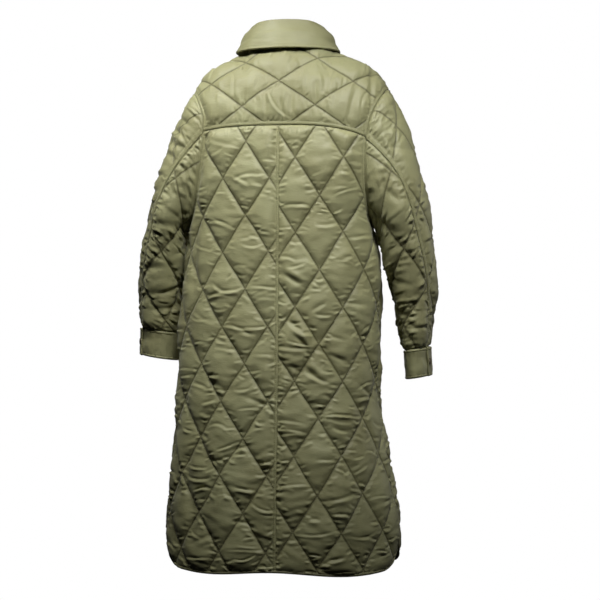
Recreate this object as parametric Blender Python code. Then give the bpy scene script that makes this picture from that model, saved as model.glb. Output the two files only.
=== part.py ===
"""Quilted coat, filled out with no wearer.

Metres, +Z up, back towards +Y, wearer's left towards +X, z 0 at the base of the neck.
Every panel is cut flat in its own cloth plane (s across, t up or along) and then laid on
the garment's form. Its outer points rise over the diamonds of the quilting, and its inner
points stay plain.
"""

import math

import bpy
import bmesh
import numpy as np
from mathutils import Vector
from mathutils.geometry import delaunay_2d_cdt

# ---- cloth ----
GAP = 0.0003          # between two pieces at a seam
WALL = 0.0022         # shell, wadding and backing held down by a stitch line
PUFF = 0.0052         # rise of the wadding in the middle of a diamond
EDGE_FADE = 0.020     # the wadding thins out over this width along a seam
PLAIN_WALL = 0.0024   # cuffs, collar and band
QUILT_WIDE = 0.0970   # body diamond, across
QUILT_HIGH = 0.1512   # body diamond, up and down
CELLS = 6             # mesh cells across one diamond
PUFF_POWER = 0.6      # below 1: full diamonds with narrow valleys at the stitch lines
CLEAR_OUTER = 0.0075  # the outer wall's lattice points keep this far from a seam
CLEAR_INNER = 0.012
PROBE = 0.002         # step used to work out a normal
OLIVE = (0.205, 0.196, 0.098)
OLIVE_DARK = (0.150, 0.143, 0.072)

# ---- levels ----
Z_YOKE = -0.1585      # yoke seam at the centre back
Z_HEM = -1.0620       # hem at the centre back
Z_SLIT = -0.8950      # top of the side slits
Z_UNDERARM = -0.3620
Z_CHEST = -0.2200     # middle from which the shoulders' outward side is judged
HEM_DROP = 0.008      # the hem hangs lower beside the centre back
CORNER_WIDE = 0.088   # rounded hem corner, across
CORNER_HIGH = 0.080   # rounded hem corner, up
YOKE_DIP = {"left": 0.012, "right": 0.028}
YOKE_REACH = 0.19     # distance from the centre at which the seam has dropped that much
BACK_SHARE = {"left": 0.88, "right": 0.98}    # side seam's place at the hem, of the quarter
BIND_WIDE = 0.007
BIND_RISE = (0.0034, 0.0046, 0.0034)    # tape over the hem's edge, across its width
BIND_UNDER = 0.0006
BAND_HALF = 0.020
BAND_RISE = (0.0036, 0.0050, 0.0050, 0.0050, 0.0036)
SEAM_FORWARD = 0.022  # shoulder seam lies this far in front of the ridge
SHOULDER_SHIFT = -0.010
NECK_SHIFT = -0.002
NECK_HALF = 0.086
NECK_BACK = 0.055
NECK_FRONT = 0.082

# Level sections of the body, inner wall: half widths and depths from the centre line.
BODY_NAMES = ("z", "left", "right", "back", "front", "power")
BODY = (
    (-1.120, 0.250, 0.231, 0.160, 0.160, 2.30),
    (-0.980, 0.249, 0.232, 0.155, 0.156, 2.30),
    (-0.892, 0.241, 0.218, 0.150, 0.150, 2.30),
    (-0.808, 0.232, 0.201, 0.143, 0.146, 2.30),
    (-0.724, 0.228, 0.190, 0.137, 0.142, 2.30),
    (-0.640, 0.224, 0.189, 0.132, 0.138, 2.32),
    (-0.515, 0.216, 0.192, 0.126, 0.134, 2.38),
    (-0.430, 0.206, 0.190, 0.122, 0.132, 2.42),
    (-0.362, 0.199, 0.180, 0.121, 0.131, 2.46),
    (-0.260, 0.204, 0.205, 0.121, 0.126, 2.50),
    (Z_YOKE, 0.212, 0.224, 0.112, 0.104, 2.50),
)

# Height of the shoulder's ridge over the distance from the shoulders' middle.
RIDGE_NAMES = ("across", "z")
RIDGE = (
    (0.000, 0.034),
    (0.060, 0.019),
    (0.090, -0.003),
    (0.124, -0.0135),
    (0.170, -0.0385),
    (0.190, -0.0570),
    (0.203, -0.0800),
    (0.225, -0.1370),
)

# The armhole: how far out its back edge lies at each height.
ARM_NAMES = ("z", "left", "right")
ARM = (
    (Z_UNDERARM, 0.199, 0.180),
    (-0.330, 0.187, 0.176),
    (-0.260, 0.171, 0.173),
    (-0.200, 0.163, 0.175),
    (-0.145, 0.161, 0.184),
    (-0.110, 0.172, 0.197),
    (-0.0782, 0.192, 0.212),
)
ARM_FRONT_IN = 0.012  # the front edge of the armhole lies this much further in

# Rings of the sleeves, inner wall, from the upper arm to the cuff's end.
# t runs down the sleeve, tilt turns the ring's outer side up (degrees).
RING_NAMES = ("t", "x", "y", "z", "tilt", "half_wide", "half_deep")
T_BICEP = 0.300
T_CUFF = {"left": 0.535, "right": 0.566}
CUFF_HIGH = 0.062
RINGS = {
    "left": (
        (0.300, 0.2520, 0.002, -0.3530, 25.0, 0.0388, 0.074),
        (0.400, 0.2690, -0.016, -0.4450, 12.0, 0.0430, 0.066),
        (0.466, 0.2755, -0.028, -0.5100, 8.0, 0.0415, 0.060),
        (0.524, 0.2780, -0.036, -0.5670, 8.0, 0.0400, 0.053),
        (0.540, 0.2785, -0.038, -0.5830, 9.0, 0.0385, 0.049),
        (0.610, 0.2815, -0.044, -0.6500, 9.0, 0.0395, 0.047),
    ),
    "right": (
        (0.300, 0.2445, 0.002, -0.3490, 25.0, 0.0523, 0.074),
        (0.400, 0.2600, -0.016, -0.4500, 13.0, 0.0470, 0.067),
        (0.466, 0.2663, -0.028, -0.5150, 7.0, 0.0378, 0.063),
        (0.550, 0.2688, -0.036, -0.5990, 7.0, 0.0262, 0.060),
        (0.566, 0.2695, -0.038, -0.6150, 9.0, 0.0240, 0.057),
        (0.640, 0.2735, -0.044, -0.6880, 10.0, 0.0225, 0.058),
    ),
}
RING_POWER = 2.1
# Angle of the sleeve's back seam and front seam round the ring (0 back, 90 outside).
SEAM_NAMES = ("t", "back", "front")
SLEEVE_SEAMS = (
    (0.000, 18.0, 205.0),
    (0.300, 30.0, 205.0),
    (0.466, 50.0, 205.0),
    (0.650, 72.0, 205.0),
)
CAP_OUT = 0.34        # how strongly the sleeve leaves the armhole outwards, at the shoulder
CAP_OUT_LOW = 0.45    # and this much more at the underarm
CAP_DOWN = 0.50       # and downwards
CAP_CLEAR = 0.0002    # the sleeve's cap stands off the armhole by this much more than a seam
SLIT_HIGH = 0.070
SLIT_STEP = 0.018
PLACKET_WIDE = 0.012
PLACKET_RISE = (0.0040, 0.0052, 0.0040)
SEAM_TURN = 0.12      # length over which a sleeve seam swings into its line
CUFF_LAP = 16.0       # the cuff's end lies this far past the seam (degrees)
CUFF_ROUND = 386.0    # how far the cuff goes round (degrees)
CUFF_LIFT = (75.0, 40.0)    # where the lapped end starts to rise, and over how much (degrees)
CUFF_OFF = 0.0012     # the cuff stands off the ring
CUFF_SOFT = 0.0006    # and swells by this much in its middle

# Quilt lattices: where one crossing lies in the cloth plane, and the diamond's size.
QUILTS = {
    "back_left": dict(s=0.0172, t=-0.4171 - Z_YOKE, wide=QUILT_WIDE, high=QUILT_HIGH),
    "back_right": dict(s=0.0368, t=-0.5280 - Z_YOKE, wide=QUILT_WIDE, high=QUILT_HIGH),
    "back_yoke": dict(s=0.0, t=0.0925, wide=QUILT_HIGH, high=0.1060),
    "front_left": dict(s=0.0300, t=-0.4400 - Z_YOKE, wide=QUILT_WIDE, high=QUILT_HIGH),
    "front_right": dict(s=0.0120, t=-0.5000 - Z_YOKE, wide=QUILT_WIDE, high=QUILT_HIGH),
    "sleeve": dict(s=0.0, t=0.2100, wide=QUILT_WIDE, high=QUILT_HIGH),
}

# Largest folds: a row is a soft ridge (or a trough, with depth below 0) on a form.
FOLD_NAMES = ("form", "s", "t", "half_long", "half_wide", "depth", "lean")
FOLDS = (
    ("back_right", 0.1650, -0.035, 0.100, 0.014, -0.006, 8.0),
    ("back_right", 0.1420, -0.060, 0.110, 0.020, 0.005, 6.0),
    ("back_left", 0.1450, -0.080, 0.110, 0.018, 0.005, -10.0),
    ("back_right", 0.0700, -0.460, 0.090, 0.018, -0.005, -22.0),
    ("back_right", 0.1000, -0.470, 0.090, 0.018, 0.005, -20.0),
    ("back_left", 0.1100, -0.720, 0.200, 0.030, 0.005, 3.0),
    ("back_left", 0.1900, -0.780, 0.160, 0.026, -0.005, 2.0),
    ("back_right", 0.1200, -0.740, 0.180, 0.030, 0.005, -3.0),
    ("back_right", 0.2000, -0.800, 0.150, 0.026, -0.004, -4.0),
    ("front_left", 0.1400, -0.650, 0.220, 0.030, 0.005, 3.0),
    ("front_right", 0.1400, -0.650, 0.220, 0.030, 0.005, -3.0),
    ("front_left", 0.1300, -0.080, 0.090, 0.018, -0.005, 10.0),
    ("front_right", 0.1300, -0.080, 0.090, 0.018, -0.005, -10.0),
    ("sleeve_left", 0.1100, 0.190, 0.060, 0.014, 0.005, 60.0),
    ("sleeve_left", 0.0900, 0.250, 0.060, 0.014, 0.005, 62.0),
    ("sleeve_left", 0.0300, 0.340, 0.060, 0.016, -0.004, 80.0),
    ("sleeve_left", 0.0500, 0.430, 0.060, 0.016, -0.004, 84.0),
    ("sleeve_right", 0.1200, 0.200, 0.060, 0.014, 0.005, 58.0),
    ("sleeve_right", 0.0300, 0.350, 0.060, 0.016, -0.004, 80.0),
    ("sleeve_right", 0.0500, 0.440, 0.060, 0.016, -0.004, 84.0),
)

# Collar: loops of the stand and the fall round the neck, each as half width, reach to the
# back, reach to the front, and heights at the back, the side and the front.
STAND_TOP = (0.0779, 0.0503, 0.0665, 0.0632, 0.0497, -0.0073)
FALL_TOP = (0.0782, 0.0506, 0.0668, 0.0635, 0.0500, -0.0070)
FALL_MID = (0.0940, 0.0660, 0.0900, 0.0350, 0.0270, -0.0200)
FALL_LOW = (0.1085, 0.0780, 0.1070, 0.0030, 0.0030, -0.0540)

FALL_SHARES = (0.0, 0.45, 1.0)    # where the three loops lie down the fall
STAND_TURN = 174.0    # how far round the neck the stand and the fall reach (degrees)
FALL_TURN = 168.0
FOOT_IN = 0.0006      # the stand's foot lies this far inside the neck line, and this far below
FOOT_DOWN = 0.0015
COLLAR_MIDDLE = -0.05

STUD_RADIUS = 0.0075
STUD_HIGH = 0.0022
STUDS = 6
STUD_FIRST = 0.045    # below the band's top
STUD_EVERY = 0.135
STUD_COLOUR = (0.10, 0.095, 0.05)
MIDDLE = 1e-5         # just left of the centre line, where the two halves meet

Y_AXIS = np.array([0.0, 1.0, 0.0])
SIGN = {"left": 1.0, "right": -1.0, "back": 1.0, "front": -1.0}


def column(rows, names, name):
    """One named column of a table."""
    return np.array([row[names.index(name)] for row in rows], dtype=float)


def smooth(at, knots, values):
    """Monotone cubic through the knots: no overshoot between two rows of a table."""
    order = np.argsort(knots)
    knots = np.asarray(knots, float)[order]
    values = np.asarray(values, float)[order]
    step = np.diff(knots)
    slope = np.diff(values) / step
    bend = np.empty(len(knots))
    bend[0] = slope[0]
    bend[-1] = slope[-1]
    same = slope[:-1] * slope[1:] > 0
    ahead = 2 * step[1:] + step[:-1]
    behind = step[1:] + 2 * step[:-1]
    safe = np.where(same, slope[:-1] * slope[1:], 1.0)
    mean = (ahead + behind) * safe / np.where(same, ahead * slope[1:] + behind * slope[:-1], 1.0)
    bend[1:-1] = np.where(same, mean, 0.0)
    at = np.clip(np.asarray(at, float), knots[0], knots[-1])
    k = np.clip(np.searchsorted(knots, at) - 1, 0, len(step) - 1)
    u = (at - knots[k]) / step[k]
    a = (1 + 2 * u) * (1 - u) ** 2 * values[k] + u * u * (3 - 2 * u) * values[k + 1]
    b = u * (1 - u) ** 2 * step[k] * bend[k] - u * u * (1 - u) * step[k] * bend[k + 1]
    return a + b


def ease(x):
    """0 to 1 with level ends."""
    x = np.clip(x, 0.0, 1.0)
    return x * x * (3 - 2 * x)


# ---- the body's form ----

QUARTER = np.linspace(0.0, math.pi / 2, 181)


def level(z, side, face):
    """Half width, depth and power of the body's level section."""
    z_knots = column(BODY, BODY_NAMES, "z")
    return [smooth(z, z_knots, column(BODY, BODY_NAMES, name)) for name in (side, face, "power")]


def level_quarter(z, side, face):
    """x, y and length along a quarter of the level section, from the centre to the side."""
    width, depth, power = level(z, side, face)
    x = width * np.sin(QUARTER) ** (2 / power)
    y = depth * np.cos(QUARTER) ** (2 / power)
    length = np.concatenate([[0.0], np.cumsum(np.hypot(np.diff(x), np.diff(y)))])
    return x, y, length


def ridge(x, side):
    """Height of the shoulder line over x (measured out from the centre line)."""
    across = np.abs(SIGN[side] * x - SHOULDER_SHIFT)
    return smooth(across, column(RIDGE, RIDGE_NAMES, "across"), column(RIDGE, RIDGE_NAMES, "z"))


def depth_at(x, z, side, face):
    """y of the body's form at x and z, as a distance from the centre plane."""
    width, depth, power = level(min(z, Z_YOKE), side, face)
    y = depth * max(0.0, 1 - (x / width) ** power) ** (1 / power)
    if z <= Z_YOKE:
        return y
    share = (z - Z_YOKE) / (ridge(x, side) - Z_YOKE)
    return y * math.sqrt(max(0.0, 1 - share * share))


def shoulder_profile(x, side, face):
    """y, z and length of the fore-and-aft arc over the shoulder at x, starting on face."""
    width, near, power = level(Z_YOKE, side, face)
    other = "front" if face == "back" else "back"
    far = level(Z_YOKE, side, other)[1]
    fall = max(1e-6, 1 - (x / width) ** power) ** (1 / power)
    top = ridge(x, side)
    y_near = SIGN[face] * near * fall * np.cos(QUARTER)
    y_far = -SIGN[face] * far * fall * np.cos(QUARTER[::-1])
    z_half = Z_YOKE + (top - Z_YOKE) * np.sin(QUARTER)
    y = np.concatenate([y_near, y_far[1:]])
    z = np.concatenate([z_half, z_half[::-1][1:]])
    length = np.concatenate([[0.0], np.cumsum(np.hypot(np.diff(y), np.diff(z)))])
    return y, z, length


def body_point(s, t, face):
    """Point of the body's form for a place in the cloth plane. s is above 0 on the left."""
    side = "left" if s >= 0 else "right"
    z = Z_YOKE + min(t, 0.0)
    x_row, y_row, length = level_quarter(z, side, face)
    x = np.interp(abs(s), length, x_row)
    if t <= 0.0:
        y = SIGN[face] * np.interp(abs(s), length, y_row)
        return np.array([SIGN[side] * x, y, z])
    y_arc, z_arc, along = shoulder_profile(x, side, face)
    return np.array([SIGN[side] * x, np.interp(t, along, y_arc), np.interp(t, along, z_arc)])


def cloth_of(x, y, z, side, face):
    """Place in the cloth plane of a point of the body's form."""
    x_row, y_row, length = level_quarter(min(z, Z_YOKE), side, face)
    s = np.interp(x, x_row, length)
    if z <= Z_YOKE:
        return SIGN[side] * s, z - Z_YOKE
    y_arc, z_arc, along = shoulder_profile(x, side, face)
    way = y_arc * -SIGN[face]
    return SIGN[side] * s, np.interp(y * -SIGN[face], way, along)


def body_frame(s, t, face):
    """Point and outward normal of the body's form."""
    e = PROBE
    side = 1.0 if s >= 0 else -1.0
    near = s if abs(s) > e else side * e
    point = body_point(s, t, face)
    ds = body_point(near + e, t, face) - body_point(near - e * 0.99, t, face)
    dt = body_point(s, t + e, face) - body_point(s, t - e, face)
    normal = np.cross(ds, dt)
    normal /= np.linalg.norm(normal)
    out = point - np.array([0.0, 0.0, min(point[2], Z_CHEST)])
    if normal @ out < 0:
        normal = -normal
    return point, normal


# ---- the armhole and the sleeve's form ----

def arm_levels(side):
    z = column(ARM, ARM_NAMES, "z")
    return z.min(), z.max()


def armhole(angle, side):
    """Point of the armhole: -90 underarm, 0 back, 90 shoulder, 180 front (degrees)."""
    low, high = arm_levels(side)
    rise = math.sin(math.radians(angle))
    z = (low + high) / 2 + (high - low) / 2 * rise
    face = "back" if math.cos(math.radians(angle)) >= 0 else "front"
    x = float(smooth(z, column(ARM, ARM_NAMES, "z"), column(ARM, ARM_NAMES, side)))
    if face == "front":
        x -= ARM_FRONT_IN * abs(math.cos(math.radians(angle)))
    if rise < -0.9999:
        return x, 0.0, z
    return x, float(depth_at(x, z, side, face)), z


def armhole_angle(side, z):
    """Angle on the armhole's back edge at height z."""
    low, high = arm_levels(side)
    return math.degrees(math.asin((z - (low + high) / 2) / ((high - low) / 2)))


def ring_values(t, side):
    rows = RINGS[side]
    knots = column(rows, RING_NAMES, "t")
    return {name: float(smooth(t, knots, column(rows, RING_NAMES, name))) for name in RING_NAMES[1:]}


def ring_point(angle, t, side):
    """Point of a sleeve's ring: the ring's plane is tilted about the fore-and-aft axis."""
    ring = ring_values(t, side)
    turn = math.radians(angle)
    tilt = math.radians(ring["tilt"])
    wide = ring["half_wide"] * np.sign(math.sin(turn)) * abs(math.sin(turn)) ** (2 / RING_POWER)
    deep = ring["half_deep"] * np.sign(math.cos(turn)) * abs(math.cos(turn)) ** (2 / RING_POWER)
    across = np.array([SIGN[side] * math.cos(tilt), 0.0, math.sin(tilt)])
    centre = np.array([SIGN[side] * ring["x"], ring["y"], ring["z"]])
    return centre + across * wide + Y_AXIS * deep


TURNS = np.arange(-180.0, 271.0, 3.0)


def ring_lengths(t, side):
    """Length round a ring at each of TURNS, 0 at the outside (90 degrees)."""
    ring = ring_values(t, side)
    turn = np.radians(TURNS)
    wide = ring["half_wide"] * np.sign(np.sin(turn)) * np.abs(np.sin(turn)) ** (2 / RING_POWER)
    deep = ring["half_deep"] * np.sign(np.cos(turn)) * np.abs(np.cos(turn)) ** (2 / RING_POWER)
    length = np.concatenate([[0.0], np.cumsum(np.hypot(np.diff(wide), np.diff(deep)))])
    return np.interp(90.0, TURNS, length) - length


def turn_of(s, t, side):
    """Ring angle for a place across the sleeve (s above 0 towards the back)."""
    lengths = ring_lengths(max(t, T_BICEP), side)
    return float(np.interp(-s, -lengths, TURNS))


def across_of(angle, t, side):
    return float(np.interp(angle, TURNS, ring_lengths(max(t, T_BICEP), side)))


def arm_vector(angle, side):
    x, y, z = armhole(angle, side)
    face = 1.0 if math.cos(math.radians(angle)) >= 0 else -1.0
    return np.array([SIGN[side] * x, face * y, z])


def cap_t(angle, side):
    """Where the sleeve's cap starts along t: its true distance from the upper-arm ring."""
    reach = np.linalg.norm(arm_vector(angle, side) - ring_point(angle, T_BICEP, side))
    return T_BICEP - reach


def sleeve_point(s, t, side):
    """Point of the sleeve's form: rings below the upper arm, and a cubic up to the armhole."""
    angle = turn_of(s, t, side)
    if t >= T_BICEP:
        return ring_point(angle, t, side)
    start = arm_vector(angle, side)
    end = ring_point(angle, T_BICEP, side)
    reach = np.linalg.norm(end - start)
    u = 1 - (T_BICEP - t) / reach
    down = ring_point(angle, T_BICEP + 0.02, side) - end
    down /= np.linalg.norm(down)
    low = (1 - math.sin(math.radians(angle))) / 2
    leave = np.array([SIGN[side] * (CAP_OUT + CAP_OUT_LOW * low), 0.0, -CAP_DOWN])
    a = start * (1 + 2 * u) * (1 - u) ** 2 + end * u * u * (3 - 2 * u)
    return a + leave * reach * u * (1 - u) ** 2 - down * reach * u * u * (1 - u)


def sleeve_frame(s, t, side):
    e = PROBE
    point = sleeve_point(s, t, side)
    ds = sleeve_point(s + e, t, side) - sleeve_point(s - e, t, side)
    dt = sleeve_point(s, t + e, side) - sleeve_point(s, t - e, side)
    normal = np.cross(ds, dt)
    normal /= np.linalg.norm(normal)
    ring = ring_values(max(t, T_BICEP), side)
    centre = np.array([SIGN[side] * ring["x"], ring["y"], ring["z"]])
    if t < T_BICEP:
        low, high = arm_levels(side)
        angle = turn_of(s, t, side)
        u = np.clip(1 - (T_BICEP - t) / (T_BICEP - cap_t(angle, side)), 0, 1)
        middle = np.array([SIGN[side] * 0.15, 0.0, (low + high) / 2])
        centre = middle * (1 - u) + centre * u
    if normal @ (point - centre) < 0:
        normal = -normal
    return point, normal


def seam_normal(angle, side):
    """Shared direction of both walls at the armhole seam: the mean of the two normals."""
    x, y, z = armhole(angle, side)
    face = "back" if math.cos(math.radians(angle)) >= 0 else "front"
    s, t = cloth_of(x, SIGN[face] * y, z, side, face)
    body = body_frame(s, t, face)[1]
    sleeve = sleeve_frame(across_of(angle, T_BICEP, side), cap_t(angle, side) + 0.004, side)[1]
    mean = body + sleeve
    return mean / np.linalg.norm(mean)


# ---- quilting and folds ----

def quilt_rise(s, t, quilt):
    """0 on the two families of stitch lines, 1 in the middle of a diamond."""
    a = (s - quilt["s"]) / quilt["wide"]
    b = (t - quilt["t"]) / quilt["high"]
    return (np.abs(np.sin(math.pi * (a + b))) * np.abs(np.sin(math.pi * (a - b)))) ** PUFF_POWER


def fold_rise(s, t, form):
    """Sum of the form's soft ridges and troughs at a place in the cloth plane."""
    total = 0.0
    for row in FOLDS:
        fold = dict(zip(FOLD_NAMES, row))
        if fold["form"] != form:
            continue
        lean = math.radians(fold["lean"])
        ds = abs(s) - fold["s"] if form.startswith(("back", "front")) else s - fold["s"]
        dt = t - fold["t"]
        along = dt * math.cos(lean) + ds * math.sin(lean)
        across = ds * math.cos(lean) - dt * math.sin(lean)
        reach = (along / fold["half_long"]) ** 2 + (across / fold["half_wide"]) ** 2
        total += fold["depth"] * math.exp(-reach)
    return total


# ---- meshes ----

def material(name, colour, roughness=0.55, metallic=0.0):
    made = bpy.data.materials.get(name)
    if made is None:
        made = bpy.data.materials.new(name)
        made.use_nodes = True
        shader = made.node_tree.nodes["Principled BSDF"]
        shader.inputs["Base Color"].default_value = (*colour, 1.0)
        shader.inputs["Roughness"].default_value = roughness
        shader.inputs["Metallic"].default_value = metallic
    return made


def add_object(name, points, faces, colour=OLIVE, roughness=0.55, metallic=0.0):
    """A named object from points and faces, with its faces turned outwards."""
    mesh = bpy.data.meshes.new(name)
    mesh.from_pydata([tuple(map(float, p)) for p in points], [], [tuple(map(int, f)) for f in faces])
    work = bmesh.new()
    work.from_mesh(mesh)
    bmesh.ops.triangulate(work, faces=work.faces)
    bmesh.ops.recalc_face_normals(work, faces=work.faces)
    work.to_mesh(mesh)
    work.free()
    mesh.materials.append(material("cloth_" + name, colour, roughness, metallic))
    mesh.shade_smooth()
    made = bpy.data.objects.new(name, mesh)
    bpy.context.scene.collection.objects.link(made)
    return made


def edge_distance(points, outline):
    """Shortest distance from each point to a closed outline."""
    start = outline
    way = np.roll(outline, -1, axis=0) - start
    size = np.maximum((way ** 2).sum(1), 1e-12)
    best = np.empty(len(points))
    for i, point in enumerate(points):
        u = np.clip(((point - start) * way).sum(1) / size, 0, 1)
        best[i] = np.sqrt((((start + way * u[:, None]) - point) ** 2).sum(1)).min()
    return best


def inside(points, outline):
    """Which points lie inside a closed outline (crossing count)."""
    x0, y0 = outline[:, 0], outline[:, 1]
    x1, y1 = np.roll(x0, -1), np.roll(y0, -1)
    result = np.zeros(len(points), bool)
    for i, (x, y) in enumerate(points):
        spans = (y0 > y) != (y1 > y)
        cut = x0[spans] + (y - y0[spans]) * (x1[spans] - x0[spans]) / (y1[spans] - y0[spans])
        result[i] = (cut > x).sum() % 2 == 1
    return result


def inset(outline, distance):
    """The outline moved inwards: each corner along the mean normal of its two sides."""
    area = 0.5 * np.sum(outline[:, 0] * np.roll(outline[:, 1], -1)
                        - np.roll(outline[:, 0], -1) * outline[:, 1])
    turn = 1.0 if area > 0 else -1.0
    ahead = np.roll(outline, -1, axis=0) - outline
    behind = outline - np.roll(outline, 1, axis=0)
    ahead /= np.maximum(np.linalg.norm(ahead, axis=1)[:, None], 1e-9)
    behind /= np.maximum(np.linalg.norm(behind, axis=1)[:, None], 1e-9)
    n1 = np.stack([-ahead[:, 1], ahead[:, 0]], 1) * turn
    n2 = np.stack([-behind[:, 1], behind[:, 0]], 1) * turn
    mean = n1 + n2
    mean /= np.maximum((mean * n1).sum(1), 0.5)[:, None]
    return outline + mean * distance


def lattice_points(outline, quilt, step_s, step_t, clear):
    """Grid places of the lattice inside the outline, with their grid numbers."""
    low, high = outline.min(0), outline.max(0)
    i0, i1 = math.floor((low[0] - quilt["s"]) / step_s), math.ceil((high[0] - quilt["s"]) / step_s)
    j0, j1 = math.floor((low[1] - quilt["t"]) / step_t), math.ceil((high[1] - quilt["t"]) / step_t)
    numbers = np.array([(i, j) for j in range(j0, j1 + 1) for i in range(i0, i1 + 1)])
    places = np.stack([quilt["s"] + numbers[:, 0] * step_s, quilt["t"] + numbers[:, 1] * step_t], 1)
    keep = inside(places, outline)
    keep[keep] = edge_distance(places[keep], outline) > clear
    return places[keep], numbers[keep]


def triangulate(outline, places, edges):
    """Triangles of the outline's inside through the given places, keeping the edges."""
    count = len(outline)
    points = [Vector(p) for p in np.vstack([outline, places])]
    ring = [(i, (i + 1) % count) for i in range(count)]
    made = delaunay_2d_cdt(points, ring + edges, [], 0, 1e-7, True)
    corners = np.array([tuple(v) for v in made[0]])
    source = [ids[0] if ids else -1 for ids in made[3]]
    faces = [f for f in made[2] if len(f) == 3]
    middles = np.array([corners[list(f)].mean(0) for f in faces])
    keep = inside(middles, outline)
    return [tuple(source[i] for i in f) for f, k in zip(faces, keep) if k]


def panel(name, outline, place, quilt, form, colour=OLIVE):
    """One quilted panel: outline in the cloth plane, place(s, t, edge) gives point and normal.

    The outer wall carries the diamonds, the inner wall is plain, and both share the outline.
    """
    cut = inset(outline, GAP / 2)
    step_s = quilt["wide"] / CELLS
    step_t = quilt["high"] / CELLS
    outer, numbers = lattice_points(cut, quilt, step_s, step_t, CLEAR_OUTER)
    index = {tuple(n): i + len(cut) for i, n in enumerate(numbers)}
    edges = []
    for (i, j), k in index.items():
        if (i + j) % CELLS == 0 and (i + 1, j - 1) in index:
            edges.append((k, index[(i + 1, j - 1)]))
        if (i - j) % CELLS == 0 and (i + 1, j + 1) in index:
            edges.append((k, index[(i + 1, j + 1)]))
    top = triangulate(cut, outer, edges)
    inner, _ = lattice_points(cut, quilt, quilt["wide"] / 2, quilt["high"] / 4, CLEAR_INNER)
    under = triangulate(cut, inner, [])
    points = []
    rim = []
    for k, (s, t) in enumerate(cut):
        base, normal = place(s, t, k)
        rim.append(base)
        points.append(base + normal * WALL)
    for (s, t), reach in zip(outer, edge_distance(outer, cut)):
        base, normal = place(s, t, None)
        lift = PUFF * quilt_rise(s, t, quilt) + fold_rise(s, t, form)
        rise = WALL + ease(reach / EDGE_FADE) * lift
        points.append(base + normal * rise)
    shift = len(points)
    points += rim
    for (s, t), reach in zip(inner, edge_distance(inner, cut)):
        base, normal = place(s, t, None)
        points.append(base + normal * ease(reach / EDGE_FADE) * fold_rise(s, t, form))
    faces = [tuple(f) for f in top]
    faces += [tuple(shift + i for i in reversed(f)) for f in under]
    count = len(cut)
    for i in range(count):
        j = (i + 1) % count
        faces.append((i, shift + i, shift + j, j))
    return add_object(name, points, faces, colour, 0.5)


def wall(name, inner, outer, closed=False, colour=OLIVE, roughness=0.55, metallic=0.0):
    """A solid between two grids of points (rows by columns), rims joined all round."""
    rows, cols = inner.shape[:2]
    points = list(outer.reshape(-1, 3)) + list(inner.reshape(-1, 3))
    shift = rows * cols
    faces = []
    last = cols if closed else cols - 1
    for r in range(rows - 1):
        for c in range(last):
            d = (c + 1) % cols
            a = (r * cols + c, r * cols + d, (r + 1) * cols + d, (r + 1) * cols + c)
            faces.append(a)
            faces.append(tuple(shift + i for i in reversed(a)))
    for c in range(last):
        d = (c + 1) % cols
        for r in (0, rows - 1):
            a = (r * cols + c, r * cols + d)
            faces.append((a[0], a[1], shift + a[1], shift + a[0]))
    if not closed:
        for r in range(rows - 1):
            for c in (0, cols - 1):
                a = (r * cols + c, (r + 1) * cols + c)
                faces.append((a[0], a[1], shift + a[1], shift + a[0]))
    return add_object(name, points, faces, colour, roughness, metallic)


# ---- outlines of the body's panels ----

ROW_STEP = 0.036
ARM_STEP = 9.0


def spread(start, end, step):
    """Even places from start to end, both included."""
    count = max(2, int(round(abs(end - start) / step)) + 1)
    return np.linspace(start, end, count)


def side_share(z, side):
    """Where the side seam lies along the back's quarter: it drifts back towards the hem."""
    along = (Z_UNDERARM - z) / (Z_UNDERARM - Z_HEM)
    return 1 - (1 - BACK_SHARE[side]) * ease(along * 1.1)


def side_seam(z, side, face):
    """Place of the side seam in the cloth plane of either face. Past the back's quarter,
    the front's cloth plane runs on round the side."""
    back = level_quarter(z, side, "back")
    split = side_share(z, side) * back[2][-1]
    if face == "back":
        return split, z - Z_YOKE
    return level_quarter(z, side, "front")[2][-1] + back[2][-1] - split, z - Z_YOKE


def face_point(s, t, face):
    """body_point, running on round the side past the end of a face's quarter."""
    side = "left" if s >= 0 else "right"
    if t < 0:
        total = level_quarter(Z_YOKE + t, side, face)[2][-1]
        if abs(s) > total:
            other = "back" if face == "front" else "front"
            rest = level_quarter(Z_YOKE + t, side, other)[2][-1] - (abs(s) - total)
            return body_point(SIGN[side] * rest, t, other)
    return body_point(s, t, face)


def face_frame(s, t, face):
    side = "left" if s >= 0 else "right"
    if t < 0:
        total = level_quarter(Z_YOKE + t, side, face)[2][-1]
        if abs(s) > total - 2 * PROBE:
            e = PROBE
            ds = face_point(s + e, t, face) - face_point(s - e, t, face)
            dt = face_point(s, t + e, face) - face_point(s, t - e, face)
            normal = np.cross(ds, dt)
            normal /= np.linalg.norm(normal)
            point = face_point(s, t, face)
            if normal @ (point - np.array([0.0, 0.0, point[2]])) < 0:
                normal = -normal
            return point, normal
    return body_frame(s, t, face)


def yoke_dip(s, side):
    """The yoke seam drops towards the armhole."""
    return -YOKE_DIP[side] * min(1.0, abs(s) / YOKE_REACH) ** 3


def hem_t(s, reach):
    """The hem line hangs a little lower half way between the centre and the side."""
    return Z_HEM - Z_YOKE - HEM_DROP * math.sin(math.pi * min(1.0, abs(s) / reach)) ** 2


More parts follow.
